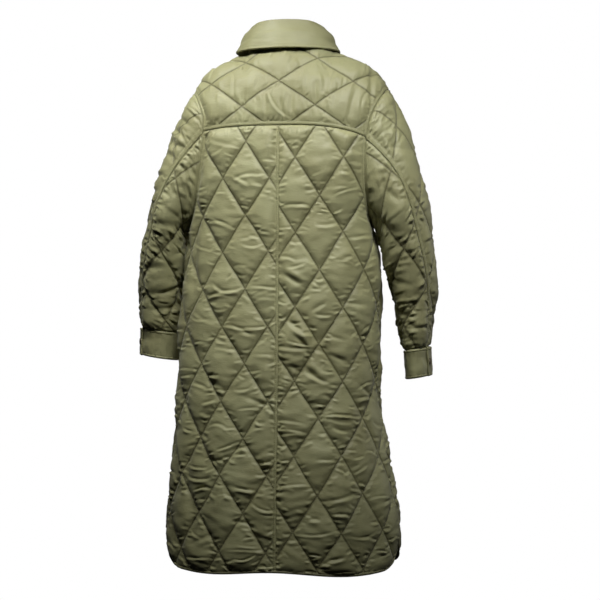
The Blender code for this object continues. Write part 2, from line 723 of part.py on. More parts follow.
def hem_corner(side, face, start_s):
    """Hem from the centre, rounded corner, slit edge: places up to the slit's top."""
    edge_s, _ = side_seam(Z_HEM, side, face)
    places = [(s, hem_t(s, edge_s)) for s in spread(start_s, edge_s - CORNER_WIDE, 0.03)]
    low = places[-1][1]
    for turn in np.radians(np.arange(15.0, 91.0, 15.0)):
        z = Z_YOKE + low + CORNER_HIGH * (1 - math.cos(turn))
        out, _ = side_seam(z, side, face)
        slim = out - CORNER_WIDE * (1 - math.sin(turn))
        places.append((slim, z - Z_YOKE))
    for z in spread(Z_YOKE + places[-1][1], Z_SLIT, 0.03)[1:]:
        places.append(side_seam(z, side, face))
    return places


def side_up(side, face):
    """Side seam from the slit's top to the underarm."""
    return [side_seam(z, side, face) for z in spread(Z_SLIT, Z_UNDERARM, ROW_STEP)[1:]]


def arm_edge(side, face, start, end):
    """Armhole edge between two ring angles, both left out, with the angles."""
    count = max(2, int(round(abs(end - start) / ARM_STEP)))
    angles = np.linspace(start, end, count + 1)[1:-1]
    return [(*arm_place(a, side, face), a) for a in angles]


def arm_place(angle, side, face):
    x, y, z = armhole(angle, side)
    on = "back" if math.cos(math.radians(angle)) >= 0 else "front"
    s, t = cloth_of(x, SIGN[on] * y, z, side, face)
    return abs(s), t


def yoke_end(side):
    """Ring angle at which the yoke seam meets the armhole."""
    return armhole_angle(side, Z_YOKE - YOKE_DIP[side])


def past_ridge(angle, side):
    """Distance of an armhole point in front of the shoulder's ridge."""
    x, y, z = armhole(angle, side)
    y_arc, z_arc, along = shoulder_profile(x, side, "back")
    return np.interp(y, -y_arc, along) - along[len(QUARTER) - 1]


def shoulder_angle(side):
    """Ring angle at which the forward shoulder seam meets the armhole."""
    angles = np.arange(90.0, 150.0, 1.0)
    ways = np.array([past_ridge(a, side) for a in angles])
    return float(np.interp(SEAM_FORWARD, ways, angles))


def neck_point(turn, side):
    """Neck line in plan: 0 at the centre back, 180 at the centre front (degrees)."""
    c = math.cos(math.radians(turn))
    x = NECK_HALF * math.sin(math.radians(turn)) + SIGN[side] * NECK_SHIFT
    y = (NECK_BACK if c >= 0 else NECK_FRONT) * c
    face = "back" if c >= 0 else "front"
    x = max(x, 0.0)
    reach = depth_at(x, Z_YOKE, side, face)
    share = min(1.0, abs(y) / reach)
    z = Z_YOKE + (ridge(x, side) - Z_YOKE) * math.sqrt(1 - share * share)
    return x, y, float(z)


def neck_place(turn, side, face):
    x, y, z = neck_point(turn, side)
    s, t = cloth_of(x, y, z, side, face)
    return abs(s), t


def neck_turn(side):
    """Plan angle at which the forward shoulder seam meets the neck line."""
    turns = np.arange(80.0, 130.0, 1.0)
    ways = []
    for turn in turns:
        x, y, z = neck_point(turn, side)
        y_arc, z_arc, along = shoulder_profile(x, side, "back")
        ways.append(np.interp(-y, -y_arc, along) - along[len(QUARTER) - 1])
    return float(np.interp(SEAM_FORWARD, ways, turns))


def shoulder_line(side, face):
    """Forward shoulder seam from the armhole to the neck, in a face's cloth plane."""
    x_out = armhole(shoulder_angle(side), side)[0]
    x_in = neck_point(neck_turn(side), side)[0]
    places = []
    for x in spread(x_out, x_in, 0.030):
        y_arc, z_arc, along = shoulder_profile(x, side, "back")
        top = along[len(QUARTER) - 1] + SEAM_FORWARD
        t = top if face == "back" else along[-1] - top
        s = np.interp(x, *[level_quarter(Z_YOKE, side, face)[i] for i in (0, 2)])
        places.append((s, t))
    return places


def back_outline(side):
    places = hem_corner(side, "back", 0.0) + side_up(side, "back")
    angles = [None] * (len(places) - 1) + [-90.0]
    for s, t, angle in arm_edge(side, "back", -90.0, yoke_end(side)):
        places.append((s, t))
        angles.append(angle)
    s_end, t_end = arm_place(yoke_end(side), side, "back")
    seam = [(s, yoke_dip(s, side)) for s in spread(s_end, 0.0, 0.024)]
    seam[0] = (s_end, t_end)
    places += seam
    angles += [yoke_end(side)] + [None] * (len(seam) - 1)
    down = [(0.0, t) for t in spread(0.0, hem_t(0.0, 1.0), ROW_STEP)[1:-1]]
    places += down
    angles += [None] * len(down)
    return np.array(places), angles


def front_outline(side):
    places = hem_corner(side, "front", BAND_HALF) + side_up(side, "front")
    angles = [None] * (len(places) - 1) + [-90.0]
    end = shoulder_angle(side)
    for s, t, angle in arm_edge(side, "front", 270.0, end):
        places.append((s, t))
        angles.append(angle)
    line = shoulder_line(side, "front")
    line[0] = arm_place(end, side, "front")
    places += line
    angles += [end] + [None] * (len(line) - 1)
    turns = spread(neck_turn(side), band_turn(side), 12.0)[1:]
    places += [neck_place(turn, side, "front") for turn in turns]
    angles += [None] * len(turns)
    top = places[-1][1]
    down = [(BAND_HALF, t) for t in spread(top, hem_t(BAND_HALF, 1.0), ROW_STEP)[1:-1]]
    places += down
    angles += [None] * len(down)
    return np.array(places), angles


def band_turn(side):
    """Plan angle at which the band's edge meets the neck line."""
    turns = np.arange(120.0, 180.0, 1.0)
    across = np.array([neck_place(turn, side, "front")[0] for turn in turns])
    return float(np.interp(-BAND_HALF, -across, turns))


def yoke_outline():
    """Lower seam from the right to the left, then up and over, round the neck and down."""
    places = []
    angles = []
    for side in ("right", "left"):
        s_end, t_end = arm_place(yoke_end(side), side, "back")
        seam = [(s, yoke_dip(s, side)) for s in spread(s_end, 0.0, 0.024)]
        seam[0] = (s_end, t_end)
        part = [(*p, None) for p in seam]
        part[0] = (s_end, t_end, yoke_end(side))
        up = [(s, t, a) for s, t, a in arm_edge(side, "back", yoke_end(side), shoulder_angle(side))]
        line = [(*p, None) for p in shoulder_line(side, "back")]
        line[0] = (*arm_place(shoulder_angle(side), side, "back"), shoulder_angle(side))
        turns = spread(neck_turn(side), 0.0, 12.0)[1:]
        neck = [(*neck_place(turn, side, "back"), None) for turn in turns]
        neck[-1] = (0.0, neck[-1][1], None)
        if side == "right":
            loop = neck[::-1] + line[::-1] + up[::-1] + part[:-1]
        else:
            loop = part[::-1] + up + line + neck[:-1]
        places += [(SIGN[side] * s, t) for s, t, _ in loop]
        angles += [(a, side) if a is not None else None for _, _, a in loop]
    return np.array(places), angles


def body_placer(face, side, angles, run_on):
    """place() of a body panel: at the armhole both walls share one direction."""
    def place(s, t, k):
        point, normal = (face_frame if run_on else body_frame)(s, t, face)
        mark = angles[k] if k is not None else None
        if mark is not None:
            angle, on = mark if isinstance(mark, tuple) else (mark, side)
            normal = seam_normal(angle, on)
        return point, normal
    return place


def build_body():
    for side in ("left", "right"):
        for face, outline_of in (("back", back_outline), ("front", front_outline)):
            name = face + "_" + side
            outline, angles = outline_of(side)
            outline[:, 0] *= SIGN[side]
            quilt = dict(QUILTS[name])
            quilt["s"] *= SIGN[side]
            count = len(hem_corner(side, face, 0.0 if face == "back" else BAND_HALF))
            bind(name, outline, count, face)
            trimmed = trim_hem(outline, count)
            place = body_placer(face, side, angles, True)
            panel(name, trimmed, place, quilt, name)
    outline, angles = yoke_outline()
    panel("back_yoke", outline, body_placer("back", None, angles, False), QUILTS["back_yoke"], "yoke")


def trim_hem(outline, count):
    """The quilted cloth stops where the binding starts."""
    narrow = inset(outline, BIND_WIDE)
    trimmed = outline.copy()
    trimmed[:count - 1] = narrow[:count - 1]
    trimmed[0, 0] = outline[0, 0]
    return trimmed


def bind(name, outline, count, face):
    """Folded tape round the hem, the corner and the slit's edge."""
    edge = inset(outline, GAP / 2)[:count - 1]
    inner = inset(outline, BIND_WIDE - GAP / 2)[:count - 1]
    edge[0, 0] = inner[0, 0] = outline[0, 0] + math.copysign(GAP / 2, outline[5, 0])
    low, high = [], []
    for a, b in zip(edge, inner):
        row = []
        for share, rise in zip((0.0, 0.5, 1.0), BIND_RISE):
            s, t = a * (1 - share) + b * share
            row.append((*face_frame(s, t, face), rise))
        low.append([p - n * BIND_UNDER for p, n, _ in row])
        high.append([p + n * rise for p, n, rise in row])
    wall("bind_" + name, np.array(low), np.array(high), colour=OLIVE_DARK)


def build_band():
    """Plain band of the closing, over the front edges, with its studs."""
    top = neck_place(180.0, "left", "front")[1] - 0.001
    rows_in, rows_out = [], []
    levels = spread(hem_t(0.0, 1.0), top, ROW_STEP)
    for t in levels:
        row_in, row_out = [], []
        for share, rise in zip((-1.0, -0.5, 0.0, 0.5, 1.0), BAND_RISE):
            s = share * (BAND_HALF - GAP / 2)
            point, normal = face_frame(s if s else MIDDLE, t, "front")
            row_in.append(point)
            row_out.append(point + normal * rise)
        rows_in.append(row_in)
        rows_out.append(row_out)
    wall("front_band", np.array(rows_in), np.array(rows_out))
    for k in range(STUDS):
        t = top - STUD_FIRST - k * STUD_EVERY
        point, normal = face_frame(MIDDLE, t, "front")
        stud("stud_%d" % (k + 1), point + normal * (max(BAND_RISE) + GAP), normal)


def stud(name, point, normal):
    """Round domed press stud: a profile turned about its axis."""
    profile = ((0.0, 0.0), (STUD_RADIUS, 0.0), (STUD_RADIUS, STUD_HIGH * 0.45),
               (STUD_RADIUS * 0.8, STUD_HIGH * 0.85), (STUD_RADIUS * 0.4, STUD_HIGH), (0.0, STUD_HIGH))
    sides = 16
    across = np.cross(normal, [0.0, 0.0, 1.0])
    across /= np.linalg.norm(across)
    up = np.cross(normal, across)
    points = [point + normal * profile[0][1]]
    for radius, rise in profile[1:-1]:
        for k in range(sides):
            turn = 2 * math.pi * k / sides
            points.append(point + normal * rise + (across * math.cos(turn) + up * math.sin(turn)) * radius)
    points.append(point + normal * profile[-1][1])
    faces = []
    rings = len(profile) - 2
    for k in range(sides):
        j = (k + 1) % sides
        faces.append((0, 1 + j, 1 + k))
        for r in range(rings - 1):
            a = 1 + r * sides
            faces.append((a + k, a + j, a + sides + j, a + sides + k))
        a = 1 + (rings - 1) * sides
        faces.append((a + k, a + j, len(points) - 1))
    add_object(name, points, faces, STUD_COLOUR, 0.35)


# ---- sleeves ----

def seam_angle(t, which):
    return float(smooth(t, column(SLEEVE_SEAMS, SEAM_NAMES, "t"), column(SLEEVE_SEAMS, SEAM_NAMES, which)))


def seam_line(side, which, end):
    """Ring angles and t down a sleeve seam, from the armhole to the cuff."""
    top = yoke_end(side) if which == "back" else seam_angle(0.0, "front")
    start = cap_t(top, side)
    line = []
    for t in spread(start, end, ROW_STEP)[1:]:
        blend = ease((t - start) / SEAM_TURN)
        line.append((top * (1 - blend) + seam_angle(t, which) * blend, t))
    return line


def sleeve_outline(side, part):
    """Outline of the upper or under sleeve, with the ring angles of its cap's points."""
    end = T_CUFF[side]
    slit = end - SLIT_HIGH
    back_top = yoke_end(side)
    front_top = seam_angle(0.0, "front")
    back = [(angle, t) for angle, t in seam_line(side, "back", end) if t < slit - 0.010]
    edge = [(seam_angle(t, "back"), t) for t in slit_levels(side)]
    front = seam_line(side, "front", end)
    if part == "under":
        front = [(angle - 360.0, t) for angle, t in front]
        cap = spread(back_top, front_top - 360.0, ARM_STEP)
        down, up = front, edge[::-1]
    else:
        cap = spread(front_top, back_top, ARM_STEP)
        down, up = back + edge, front[::-1]
    places = [(across_of(angle, T_BICEP, side), cap_t(angle, side) + CAP_CLEAR) for angle in cap]
    places += [(across_of(angle, t, side), t) for angle, t in down]
    set_back = PLACKET_WIDE if part == "under" else 0.0
    for share in np.linspace(0.0, 1.0, 9)[1:-1]:
        angle = down[-1][0] * (1 - share) + up[0][0] * share
        places.append((across_of(angle, end, side) + set_back * share, end))
    if part == "under":
        places += [(across_of(angle, t, side) + set_back, t) for angle, t in up]
        up = [edge[0]] + back[::-1]
    places += [(across_of(angle, t, side), t) for angle, t in up]
    marks = [(float(angle), side) for angle in cap] + [None] * (len(places) - len(cap))
    return np.array(places), marks


def slit_levels(side):
    return spread(T_CUFF[side] - SLIT_HIGH, T_CUFF[side], SLIT_STEP)


def slit_across(t, side):
    return across_of(seam_angle(t, "back"), t, side)


def sleeve_placer(side, marks):
    def place(s, t, k):
        point, normal = sleeve_frame(s, t, side)
        if k is not None and marks[k] is not None:
            normal = seam_normal(*marks[k])
        return point, normal
    return place


def build_sleeve(side):
    for part in ("upper", "under"):
        outline, marks = sleeve_outline(side, part)
        name = "sleeve_" + part + "_" + side
        panel(name, outline, sleeve_placer(side, marks), QUILTS["sleeve"], "sleeve_" + side)
    levels = slit_levels(side)
    levels[0] += 2 * GAP
    levels[-1] -= GAP
    low, high = [], []
    for t in levels:
        start = slit_across(t, side) + 2 * GAP
        width = PLACKET_WIDE - 4 * GAP
        frames = [sleeve_frame(start + width * share, t, side) for share in (0.0, 0.5, 1.0)]
        low.append([point for point, _ in frames])
        high.append([point + normal * rise for (point, normal), rise in zip(frames, PLACKET_RISE)])
    wall("placket_" + side, np.array(low), np.array(high))
    build_cuff(side)


def build_cuff(side):
    """Band cuff: it goes round the wrist and its end lies over its start."""
    start = seam_angle(T_CUFF[side], "back") + CUFF_LAP
    lap = PLAIN_WALL + GAP + CUFF_SOFT
    low, high = [], []
    for angle in spread(start, start - CUFF_ROUND, 10.0):
        over = ease((start - CUFF_ROUND + CUFF_LIFT[0] - angle) / CUFF_LIFT[1]) * lap
        row_low, row_high = [], []
        for share in (0.0, 0.5, 1.0):
            t = T_CUFF[side] + GAP + share * (CUFF_HIGH - GAP)
            turn = angle if angle >= -180.0 else angle + 360.0
            point = ring_point(turn, t, side)
            normal = ring_normal(turn, t, side)
            rise = CUFF_OFF + over
            row_low.append(point + normal * rise)
            row_high.append(point + normal * (rise + PLAIN_WALL + CUFF_SOFT * (share == 0.5)))
        low.append(row_low)
        high.append(row_high)
    wall("cuff_" + side, np.array(low), np.array(high))
    angle = start - CUFF_ROUND + 10.0 + 360.0
    t = T_CUFF[side] + CUFF_HIGH / 2
    normal = ring_normal(angle, t, side)
    lift = CUFF_OFF + lap + PLAIN_WALL + CUFF_SOFT + GAP
    stud("stud_cuff_" + side, ring_point(angle, t, side) + normal * lift, normal)


def ring_normal(angle, t, side):
    e = 1.0
    round_ = ring_point(angle + e, t, side) - ring_point(angle - e, t, side)
    along = ring_point(angle, t + 0.002, side) - ring_point(angle, t - 0.002, side)
    normal = np.cross(round_, along)
    normal /= np.linalg.norm(normal)
    ring = ring_values(t, side)
    centre = np.array([SIGN[side] * ring["x"], ring["y"], ring["z"]])
    return normal if normal @ (ring_point(angle, t, side) - centre) > 0 else -normal


# ---- collar ----

def loop_point(loop, turn):
    """Point of a collar loop: 0 at the centre back, +-180 at the centre front (degrees)."""
    half, back, front, z_back, z_side, z_front = loop
    c = math.cos(math.radians(turn))
    x = half * math.sin(math.radians(turn)) + NECK_SHIFT
    y = (back if c >= 0 else front) * c
    share = 1 - (1 - c * c) ** 2 if c >= 0 else c * c
    z = z_side + ((z_back if c >= 0 else z_front) - z_side) * share
    return np.array([x, y, z])


def grid_normals(grid):
    """Unit normals of a grid of points, away from the neck's axis."""
    round_ = np.gradient(grid, axis=0)
    along = np.gradient(grid, axis=1)
    normal = np.cross(round_, along)
    normal /= np.linalg.norm(normal, axis=2)[:, :, None]
    out = grid - np.array([NECK_SHIFT, 0.0, COLLAR_MIDDLE])
    flip = (normal * out).sum(axis=2) < 0
    normal[flip] *= -1
    return normal


def build_collar():
    turns = spread(-STAND_TURN, STAND_TURN, 12.0)
    grid = []
    for turn in turns:
        side = "left" if turn >= 0 else "right"
        x, y, z = neck_point(abs(turn), side)
        foot = np.array([SIGN[side] * x, y, z])
        inward = np.array([NECK_SHIFT, 0.0, z]) - foot
        foot = foot + inward / np.linalg.norm(inward) * FOOT_IN - np.array([0.0, 0.0, FOOT_DOWN])
        top = loop_point(STAND_TOP, turn)
        grid.append([foot, foot * 0.5 + top * 0.5, top])
    grid = np.array(grid)
    normal = grid_normals(grid)
    wall("collar_stand", grid - normal * PLAIN_WALL, grid)
    turns = spread(-FALL_TURN, FALL_TURN, 10.5)
    loops = (FALL_TOP, FALL_MID, FALL_LOW)
    shares = np.linspace(0.0, 1.0, 6)
    grid = np.array([[loop_point([smooth(share, FALL_SHARES, row) for row in zip(*loops)], turn)
                      for share in shares] for turn in turns])
    normal = grid_normals(grid)
    wall("collar_fall", grid, grid + normal * PLAIN_WALL)


def main():
    for old in list(bpy.data.objects):
        bpy.data.objects.remove(old, do_unlink=True)
    build_body()
    build_band()
    for side in ("left", "right"):
        build_sleeve(side)
    build_collar()


main()
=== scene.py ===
import math
import time

import bpy
import numpy as np
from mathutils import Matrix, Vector
from mathutils.bvhtree import BVHTree


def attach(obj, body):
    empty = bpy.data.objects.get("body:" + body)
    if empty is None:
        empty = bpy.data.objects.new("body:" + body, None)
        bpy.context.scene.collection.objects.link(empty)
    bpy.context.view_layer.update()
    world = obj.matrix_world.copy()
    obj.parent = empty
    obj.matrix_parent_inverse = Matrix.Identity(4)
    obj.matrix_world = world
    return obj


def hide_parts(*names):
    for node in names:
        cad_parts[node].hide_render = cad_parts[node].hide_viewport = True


startTime = time.time()
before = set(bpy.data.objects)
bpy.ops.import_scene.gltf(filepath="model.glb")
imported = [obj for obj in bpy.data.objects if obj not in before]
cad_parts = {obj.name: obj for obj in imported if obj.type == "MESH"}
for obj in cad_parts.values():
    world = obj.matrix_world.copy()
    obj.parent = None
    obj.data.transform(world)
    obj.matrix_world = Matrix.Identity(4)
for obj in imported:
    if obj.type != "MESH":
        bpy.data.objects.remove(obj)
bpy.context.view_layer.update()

sign = {"left": 1.0, "right": -1.0, "back": 1.0, "front": -1.0}
otherFace = {"back": "front", "front": "back"}
gap = 0.0003


def report(words):
    # One line for each stage, with the seconds since the start.
    print("coat: %s (%.1f s)" % (words, time.time() - startTime))


def joined(*words):
    # Words run together, each but the first with a capital.
    return words[0] + "".join(word[0].upper() + word[1:] for word in words[1:])


def unit(v):
    # Each vector divided by its own length.
    return v / np.linalg.norm(v, axis=-1)[..., None]


def wayAlong(line):
    # Length along a line at each of its points: the running sum of its steps.
    return np.concatenate([[0], np.cumsum(np.linalg.norm(np.diff(line, axis=0), axis=1))])


def lengthOf(line):
    # Whole length of a line: the sum of its steps.
    return float(np.linalg.norm(np.diff(line, axis=0), axis=1).sum())


# the coat's form, all in metres

body = {
    "zYoke": -0.1585,     # yoke seam at the centre back
    "zHem": -1.0620,      # hem at the centre back
    "zUnderarm": -0.3620,
    "hemDrop": 0.008,     # the hem hangs lower beside the centre
    "cornerWide": 0.088,
    "cornerHigh": 0.080,
    "yokeDip": {"left": 0.012, "right": 0.028},
    "yokeReach": 0.19,
    "backShare": {"left": 0.88, "right": 0.98},   # how far back the side seams lie at the hem
    "seamForward": 0.022,   # shoulder seam in front of the shoulder's top
    "shoulderShift": -0.010,
    "neckShift": -0.002,
    "neckHalf": 0.086,
    "neckBack": 0.055,
    "neckFront": 0.082,
    "bandHalf": 0.020,
    "bindWide": 0.007,
    "armFrontIn": 0.012,
    # z, half width left and right, depth back and front, power of the section
    "levels": np.array([
        (-1.120, 0.250, 0.231, 0.160, 0.160, 2.30),
        (-0.980, 0.249, 0.232, 0.155, 0.156, 2.30),
        (-0.892, 0.241, 0.218, 0.150, 0.150, 2.30),
        (-0.808, 0.232, 0.201, 0.143, 0.146, 2.30),
        (-0.724, 0.228, 0.190, 0.137, 0.142, 2.30),
        (-0.640, 0.224, 0.189, 0.132, 0.138, 2.32),
        (-0.515, 0.216, 0.192, 0.126, 0.134, 2.38),
        (-0.430, 0.206, 0.190, 0.122, 0.132, 2.42),
        (-0.362, 0.199, 0.180, 0.121, 0.131, 2.46),
        (-0.260, 0.204, 0.205, 0.121, 0.126, 2.50),
        (-0.1585, 0.212, 0.224, 0.112, 0.104, 2.50)]),
    # distance from the shoulders' middle, height of the shoulder line
    "ridge": np.array([
        (0.000, 0.034), (0.060, 0.019), (0.090, -0.003), (0.124, -0.0135),
        (0.170, -0.0385), (0.190, -0.0570), (0.203, -0.0800), (0.225, -0.1370)]),
    # z, how far out the armhole's back edge lies, left and right
    "arm": np.array([
        (-0.3620, 0.199, 0.180), (-0.330, 0.187, 0.176), (-0.260, 0.171, 0.173),
        (-0.200, 0.163, 0.175), (-0.145, 0.161, 0.184), (-0.110, 0.172, 0.197),
        (-0.0782, 0.192, 0.212)]),
}

sleeve = {
    "tBicep": 0.300,      # way down the sleeve to the ring where the cap ends
    "tCuff": {"left": 0.535, "right": 0.566},
    "cuffHigh": 0.062,
    "slitHigh": 0.070,
    "ringPower": 2.1,
    "capOut": 0.34,       # how the cap leaves the armhole: outwards, more below, and down
    "capOutLow": 0.45,
    "capDown": 0.50,
    "seamTurn": 0.12,
    # way down the sleeve, middle x y z, tilt in degrees, half width, half depth
    "rings": {
        "left": np.array([
            (0.300, 0.2520, 0.002, -0.3530, 25.0, 0.0388, 0.074),
            (0.400, 0.2690, -0.016, -0.4450, 12.0, 0.0430, 0.066),
            (0.466, 0.2755, -0.028, -0.5100, 8.0, 0.0415, 0.060),
            (0.524, 0.2780, -0.036, -0.5670, 8.0, 0.0400, 0.053),
            (0.540, 0.2785, -0.038, -0.5830, 9.0, 0.0385, 0.049),
            (0.610, 0.2815, -0.044, -0.6500, 9.0, 0.0395, 0.047)]),
        "right": np.array([
            (0.300, 0.2445, 0.002, -0.3490, 25.0, 0.0523, 0.074),
            (0.400, 0.2600, -0.016, -0.4500, 13.0, 0.0470, 0.067),
            (0.466, 0.2663, -0.028, -0.5150, 7.0, 0.0378, 0.063),
            (0.550, 0.2688, -0.036, -0.5990, 7.0, 0.0262, 0.060),
            (0.566, 0.2695, -0.038, -0.6150, 9.0, 0.0240, 0.057),
            (0.640, 0.2735, -0.044, -0.6880, 10.0, 0.0225, 0.058)]),
    },
    # way down the sleeve, angle of the back seam and of the front seam
    "seams": np.array([
        (0.000, 18.0, 205.0), (0.300, 30.0, 205.0), (0.466, 50.0, 205.0), (0.650, 72.0, 205.0)]),
}


def smoothCurve(at, knots, values):
    # Monotone cubic through the knots: slopes are harmonic means of the two sides' slopes.
    order = np.argsort(knots)
    knots, values = knots[order], values[order]
    step = np.diff(knots)
    slope = np.diff(values) / step
    bend = np.concatenate([slope[:1], np.zeros(len(knots) - 2), slope[-1:]])
    same = slope[:-1] * slope[1:] > 0
    ahead, behind = 2 * step[1:] + step[:-1], step[1:] + 2 * step[:-1]
    product = np.where(same, slope[:-1] * slope[1:], 1.0)
    below = np.where(same, ahead * slope[1:] + behind * slope[:-1], 1.0)
    bend[1:-1] = np.where(same, (ahead + behind) * product / below, 0.0)
    at = np.clip(np.asarray(at, float), knots[0], knots[-1])
    k = np.clip(np.searchsorted(knots, at) - 1, 0, len(step) - 1)
    u = (at - knots[k]) / step[k]
    low = (1 + 2 * u) * (1 - u) ** 2 * values[k] + u * (1 - u) ** 2 * step[k] * bend[k]
    high = u * u * (3 - 2 * u) * values[k + 1] - u * u * (1 - u) * step[k] * bend[k + 1]
    return low + high


def ease(x):
    # 0 to 1 with level ends: 3 x squared less 2 x cubed.
    x = np.clip(x, 0.0, 1.0)
    return x * x * (3 - 2 * x)


def lookUp(table, row, col):
    # Bilinear reading of a table at fractional rows and columns.
    row = np.clip(row, 0, table.shape[0] - 1.00001)
    col = np.clip(col, 0, table.shape[1] - 1.00001)
    i, j = row.astype(int), col.astype(int)
    fr, fc = row - i, col - j
    low = table[i, j] * (1 - fc) + table[i, j + 1] * fc
    high = table[i + 1, j] * (1 - fc) + table[i + 1, j + 1] * fc
    return low * (1 - fr) + high * fr


def evenRows(x, y, count):
    # Each row's curve read at even steps of its own length, with that length.
    length = np.cumsum(np.hypot(np.diff(x, axis=1), np.diff(y, axis=1)), axis=1)
    length = np.concatenate([np.zeros((len(x), 1)), length], axis=1)
    share = np.linspace(0, 1, count)
    xs = np.array([np.interp(share * l[-1], l, a) for l, a in zip(length, x)])
    ys = np.array([np.interp(share * l[-1], l, b) for l, b in zip(length, y)])
    return xs, ys, length[:, -1]


# the body's tables: places in a row, a quarter turn, heights of the level sections
cols = 241
quarter = np.linspace(0.0, math.pi / 2, cols)
levelZ = np.linspace(-1.125, body["zYoke"], 480)


def levelRow(z, side, face):
    # Half width, depth and power of the level section at z.
    rows = body["levels"]
    k = {"left": 1, "right": 2}[side], {"back": 3, "front": 4}[face], 5
    return [smoothCurve(z, rows[:, 0], rows[:, i]) for i in k]


def ridgeHeight(x, side):
    # Height of the shoulder line at x, from its table.
    across = np.abs(sign[side] * x - body["shoulderShift"])
    return smoothCurve(across, body["ridge"][:, 0], body["ridge"][:, 1])


def levelTable(side, face):
    # A quarter of each level section: x = w sin(a)^(2/p), y = d cos(a)^(2/p), read evenly.
    wide, deep, power = [v[:, None] for v in levelRow(levelZ, side, face)]
    x = wide * np.sin(quarter) ** (2 / power)
    y = deep * np.cos(quarter) ** (2 / power)
    return evenRows(x, y, cols)


def shoulderTable(side, face):
    # Arcs over the shoulder at each x, half an ellipse rising to the ridge and down again.
    wide, near, power = levelRow(body["zYoke"], side, face)
    far = levelRow(body["zYoke"], side, otherFace[face])[1]
    x = np.linspace(0, float(wide) * 0.9995, 200)
    fall = (1 - (x / wide) ** power) ** (1 / power)
    rise = ridgeHeight(x, side) - body["zYoke"]
    y = np.concatenate([near * fall[:, None] * np.cos(quarter), -far * fall[:, None] * np.sin(quarter)[1:]], 1)
    z = body["zYoke"] + rise[:, None] * np.concatenate([np.sin(quarter), np.cos(quarter)[1:]])
    ys, zs, total = evenRows(y, z, 2 * cols - 1)
    return x, ys * sign[face], zs, total


levelTables = {(s, f): levelTable(s, f) for s in ("left", "right") for f in ("back", "front")}
shoulderTables = {(s, f): shoulderTable(s, f) for s in ("left", "right") for f in ("back", "front")}


def sideForm(a, t, side, face):
    # Point of the body for a distance a round from the centre line and a height t from the yoke.
    xs, ys, total = levelTables[side, face]
    xo, yo, totalOther = levelTables[side, otherFace[face]]
    z = body["zYoke"] + np.minimum(t, 0.0)
    row = (z - levelZ[0]) / (levelZ[1] - levelZ[0])
    reach = np.interp(z, levelZ, total)
    rest = np.interp(z, levelZ, totalOther)
    over = a > reach
    share = np.clip(np.where(over, (rest - a + reach) / rest, a / reach), 0, 1) * (cols - 1)
    x = np.where(over, lookUp(xo, row, share), lookUp(xs, row, share))
    y = sign[face] * np.where(over, -lookUp(yo, row, share), lookUp(ys, row, share))
    xArc, yArc, zArc, arc = shoulderTables[side, face]
    col = x / (xArc[1] - xArc[0])
    way = np.clip(t / np.interp(x, xArc, arc), 0, 1) * (2 * cols - 2)
    up = t > 0
    y = np.where(up, lookUp(yArc, col, way), y)
    z = np.where(up, lookUp(zArc, col, way), z)
    return np.stack([sign[side] * x, y, z], axis=-1)


def bodyForm(face):
    # The form of one face of the body: left of the centre line where s is positive, else right.
    def form(s, t):
        # The place in space of a place (s, t) in the cloth's plane.
        left = sideForm(np.abs(s), t, "left", face)
        right = sideForm(np.abs(s), t, "right", face)
        return np.where((s >= 0)[..., None], left, right)
    return form


def depthAt(x, z, side, face):
    # y of the body at x and z: the level section, shrunk by an ellipse above the yoke line.
    wide, deep, power = levelRow(np.minimum(z, body["zYoke"]), side, face)
    y = deep * np.clip(1 - (x / wide) ** power, 0, 1) ** (1 / power)
    rise = np.clip((z - body["zYoke"]) / (ridgeHeight(x, side) - body["zYoke"]), 0, 1)
    return y * np.sqrt(1 - rise ** 2)


def shoulderRow(x, side, face):
    # Arc over the shoulder at one x, between the two nearest rows of the table.
    xArc, yArc, _, arc = shoulderTables[side, face]
    k = min(len(xArc) - 2, int(x / xArc[1]))
    f = min(x / xArc[1] - k, 1.0)
    return yArc[k] * (1 - f) + yArc[k + 1] * f, arc[k] * (1 - f) + arc[k + 1] * f


def clothOf(x, y, z, side, face):
    # Place in the cloth plane of points of the body's form.
    xs, _, total = levelTables[side, face]
    share = np.linspace(0, 1, cols)
    places = []
    for px, py, pz in zip(x, y, z):
        row = (min(pz, body["zYoke"]) - levelZ[0]) / (levelZ[1] - levelZ[0])
        k = min(len(levelZ) - 2, int(row))
        f = row - k
        reach = total[k] * (1 - f) + total[k + 1] * f
        s = np.interp(px, xs[k] * (1 - f) + xs[k + 1] * f, share * reach)
        t = pz - body["zYoke"]
        if t > 0:
            row, arc = shoulderRow(px, side, face)
            t = np.interp(-sign[face] * py, -sign[face] * row, np.linspace(0, arc, len(row)))
        places.append((s, t))
    return np.array(places)


def armhole(angle, side):
    # The armhole: -90 underarm, 0 back, 90 shoulder, 180 front.
    z0, z1 = body["arm"][0, 0], body["arm"][-1, 0]
    turn = np.radians(angle)
    z = (z0 + z1) / 2 + (z1 - z0) / 2 * np.sin(turn)
    k = {"left": 1, "right": 2}[side]
    x = smoothCurve(z, body["arm"][:, 0], body["arm"][:, k])
    back = np.cos(turn) >= 0
    x = np.where(back, x, x - body["armFrontIn"] * np.abs(np.cos(turn)))
    y = np.where(back, depthAt(x, z, side, "back"), -depthAt(x, z, side, "front"))
    y = np.where(np.sin(turn) < -0.9999, 0.0, y)
    return np.stack([sign[side] * x, y, z], axis=-1)


# the sleeves' tables: angles round a ring, ways down the sleeve, distances from its outer line
turns = np.arange(-180.0, 271.0, 1.5)
ringT = np.linspace(sleeve["tBicep"], 0.66, 100)
ringS = np.linspace(-0.34, 0.34, 401)


def ringValues(t, side):
    # Middle, tilt and half sizes of the sleeve's ring at t, from the table.
    rows = sleeve["rings"][side]
    return [smoothCurve(t, rows[:, 0], rows[:, k]) for k in range(1, 7)]


def signedPower(x, power):
    # The size of x to a power, with the sign of x.
    return np.sign(x) * np.abs(x) ** power


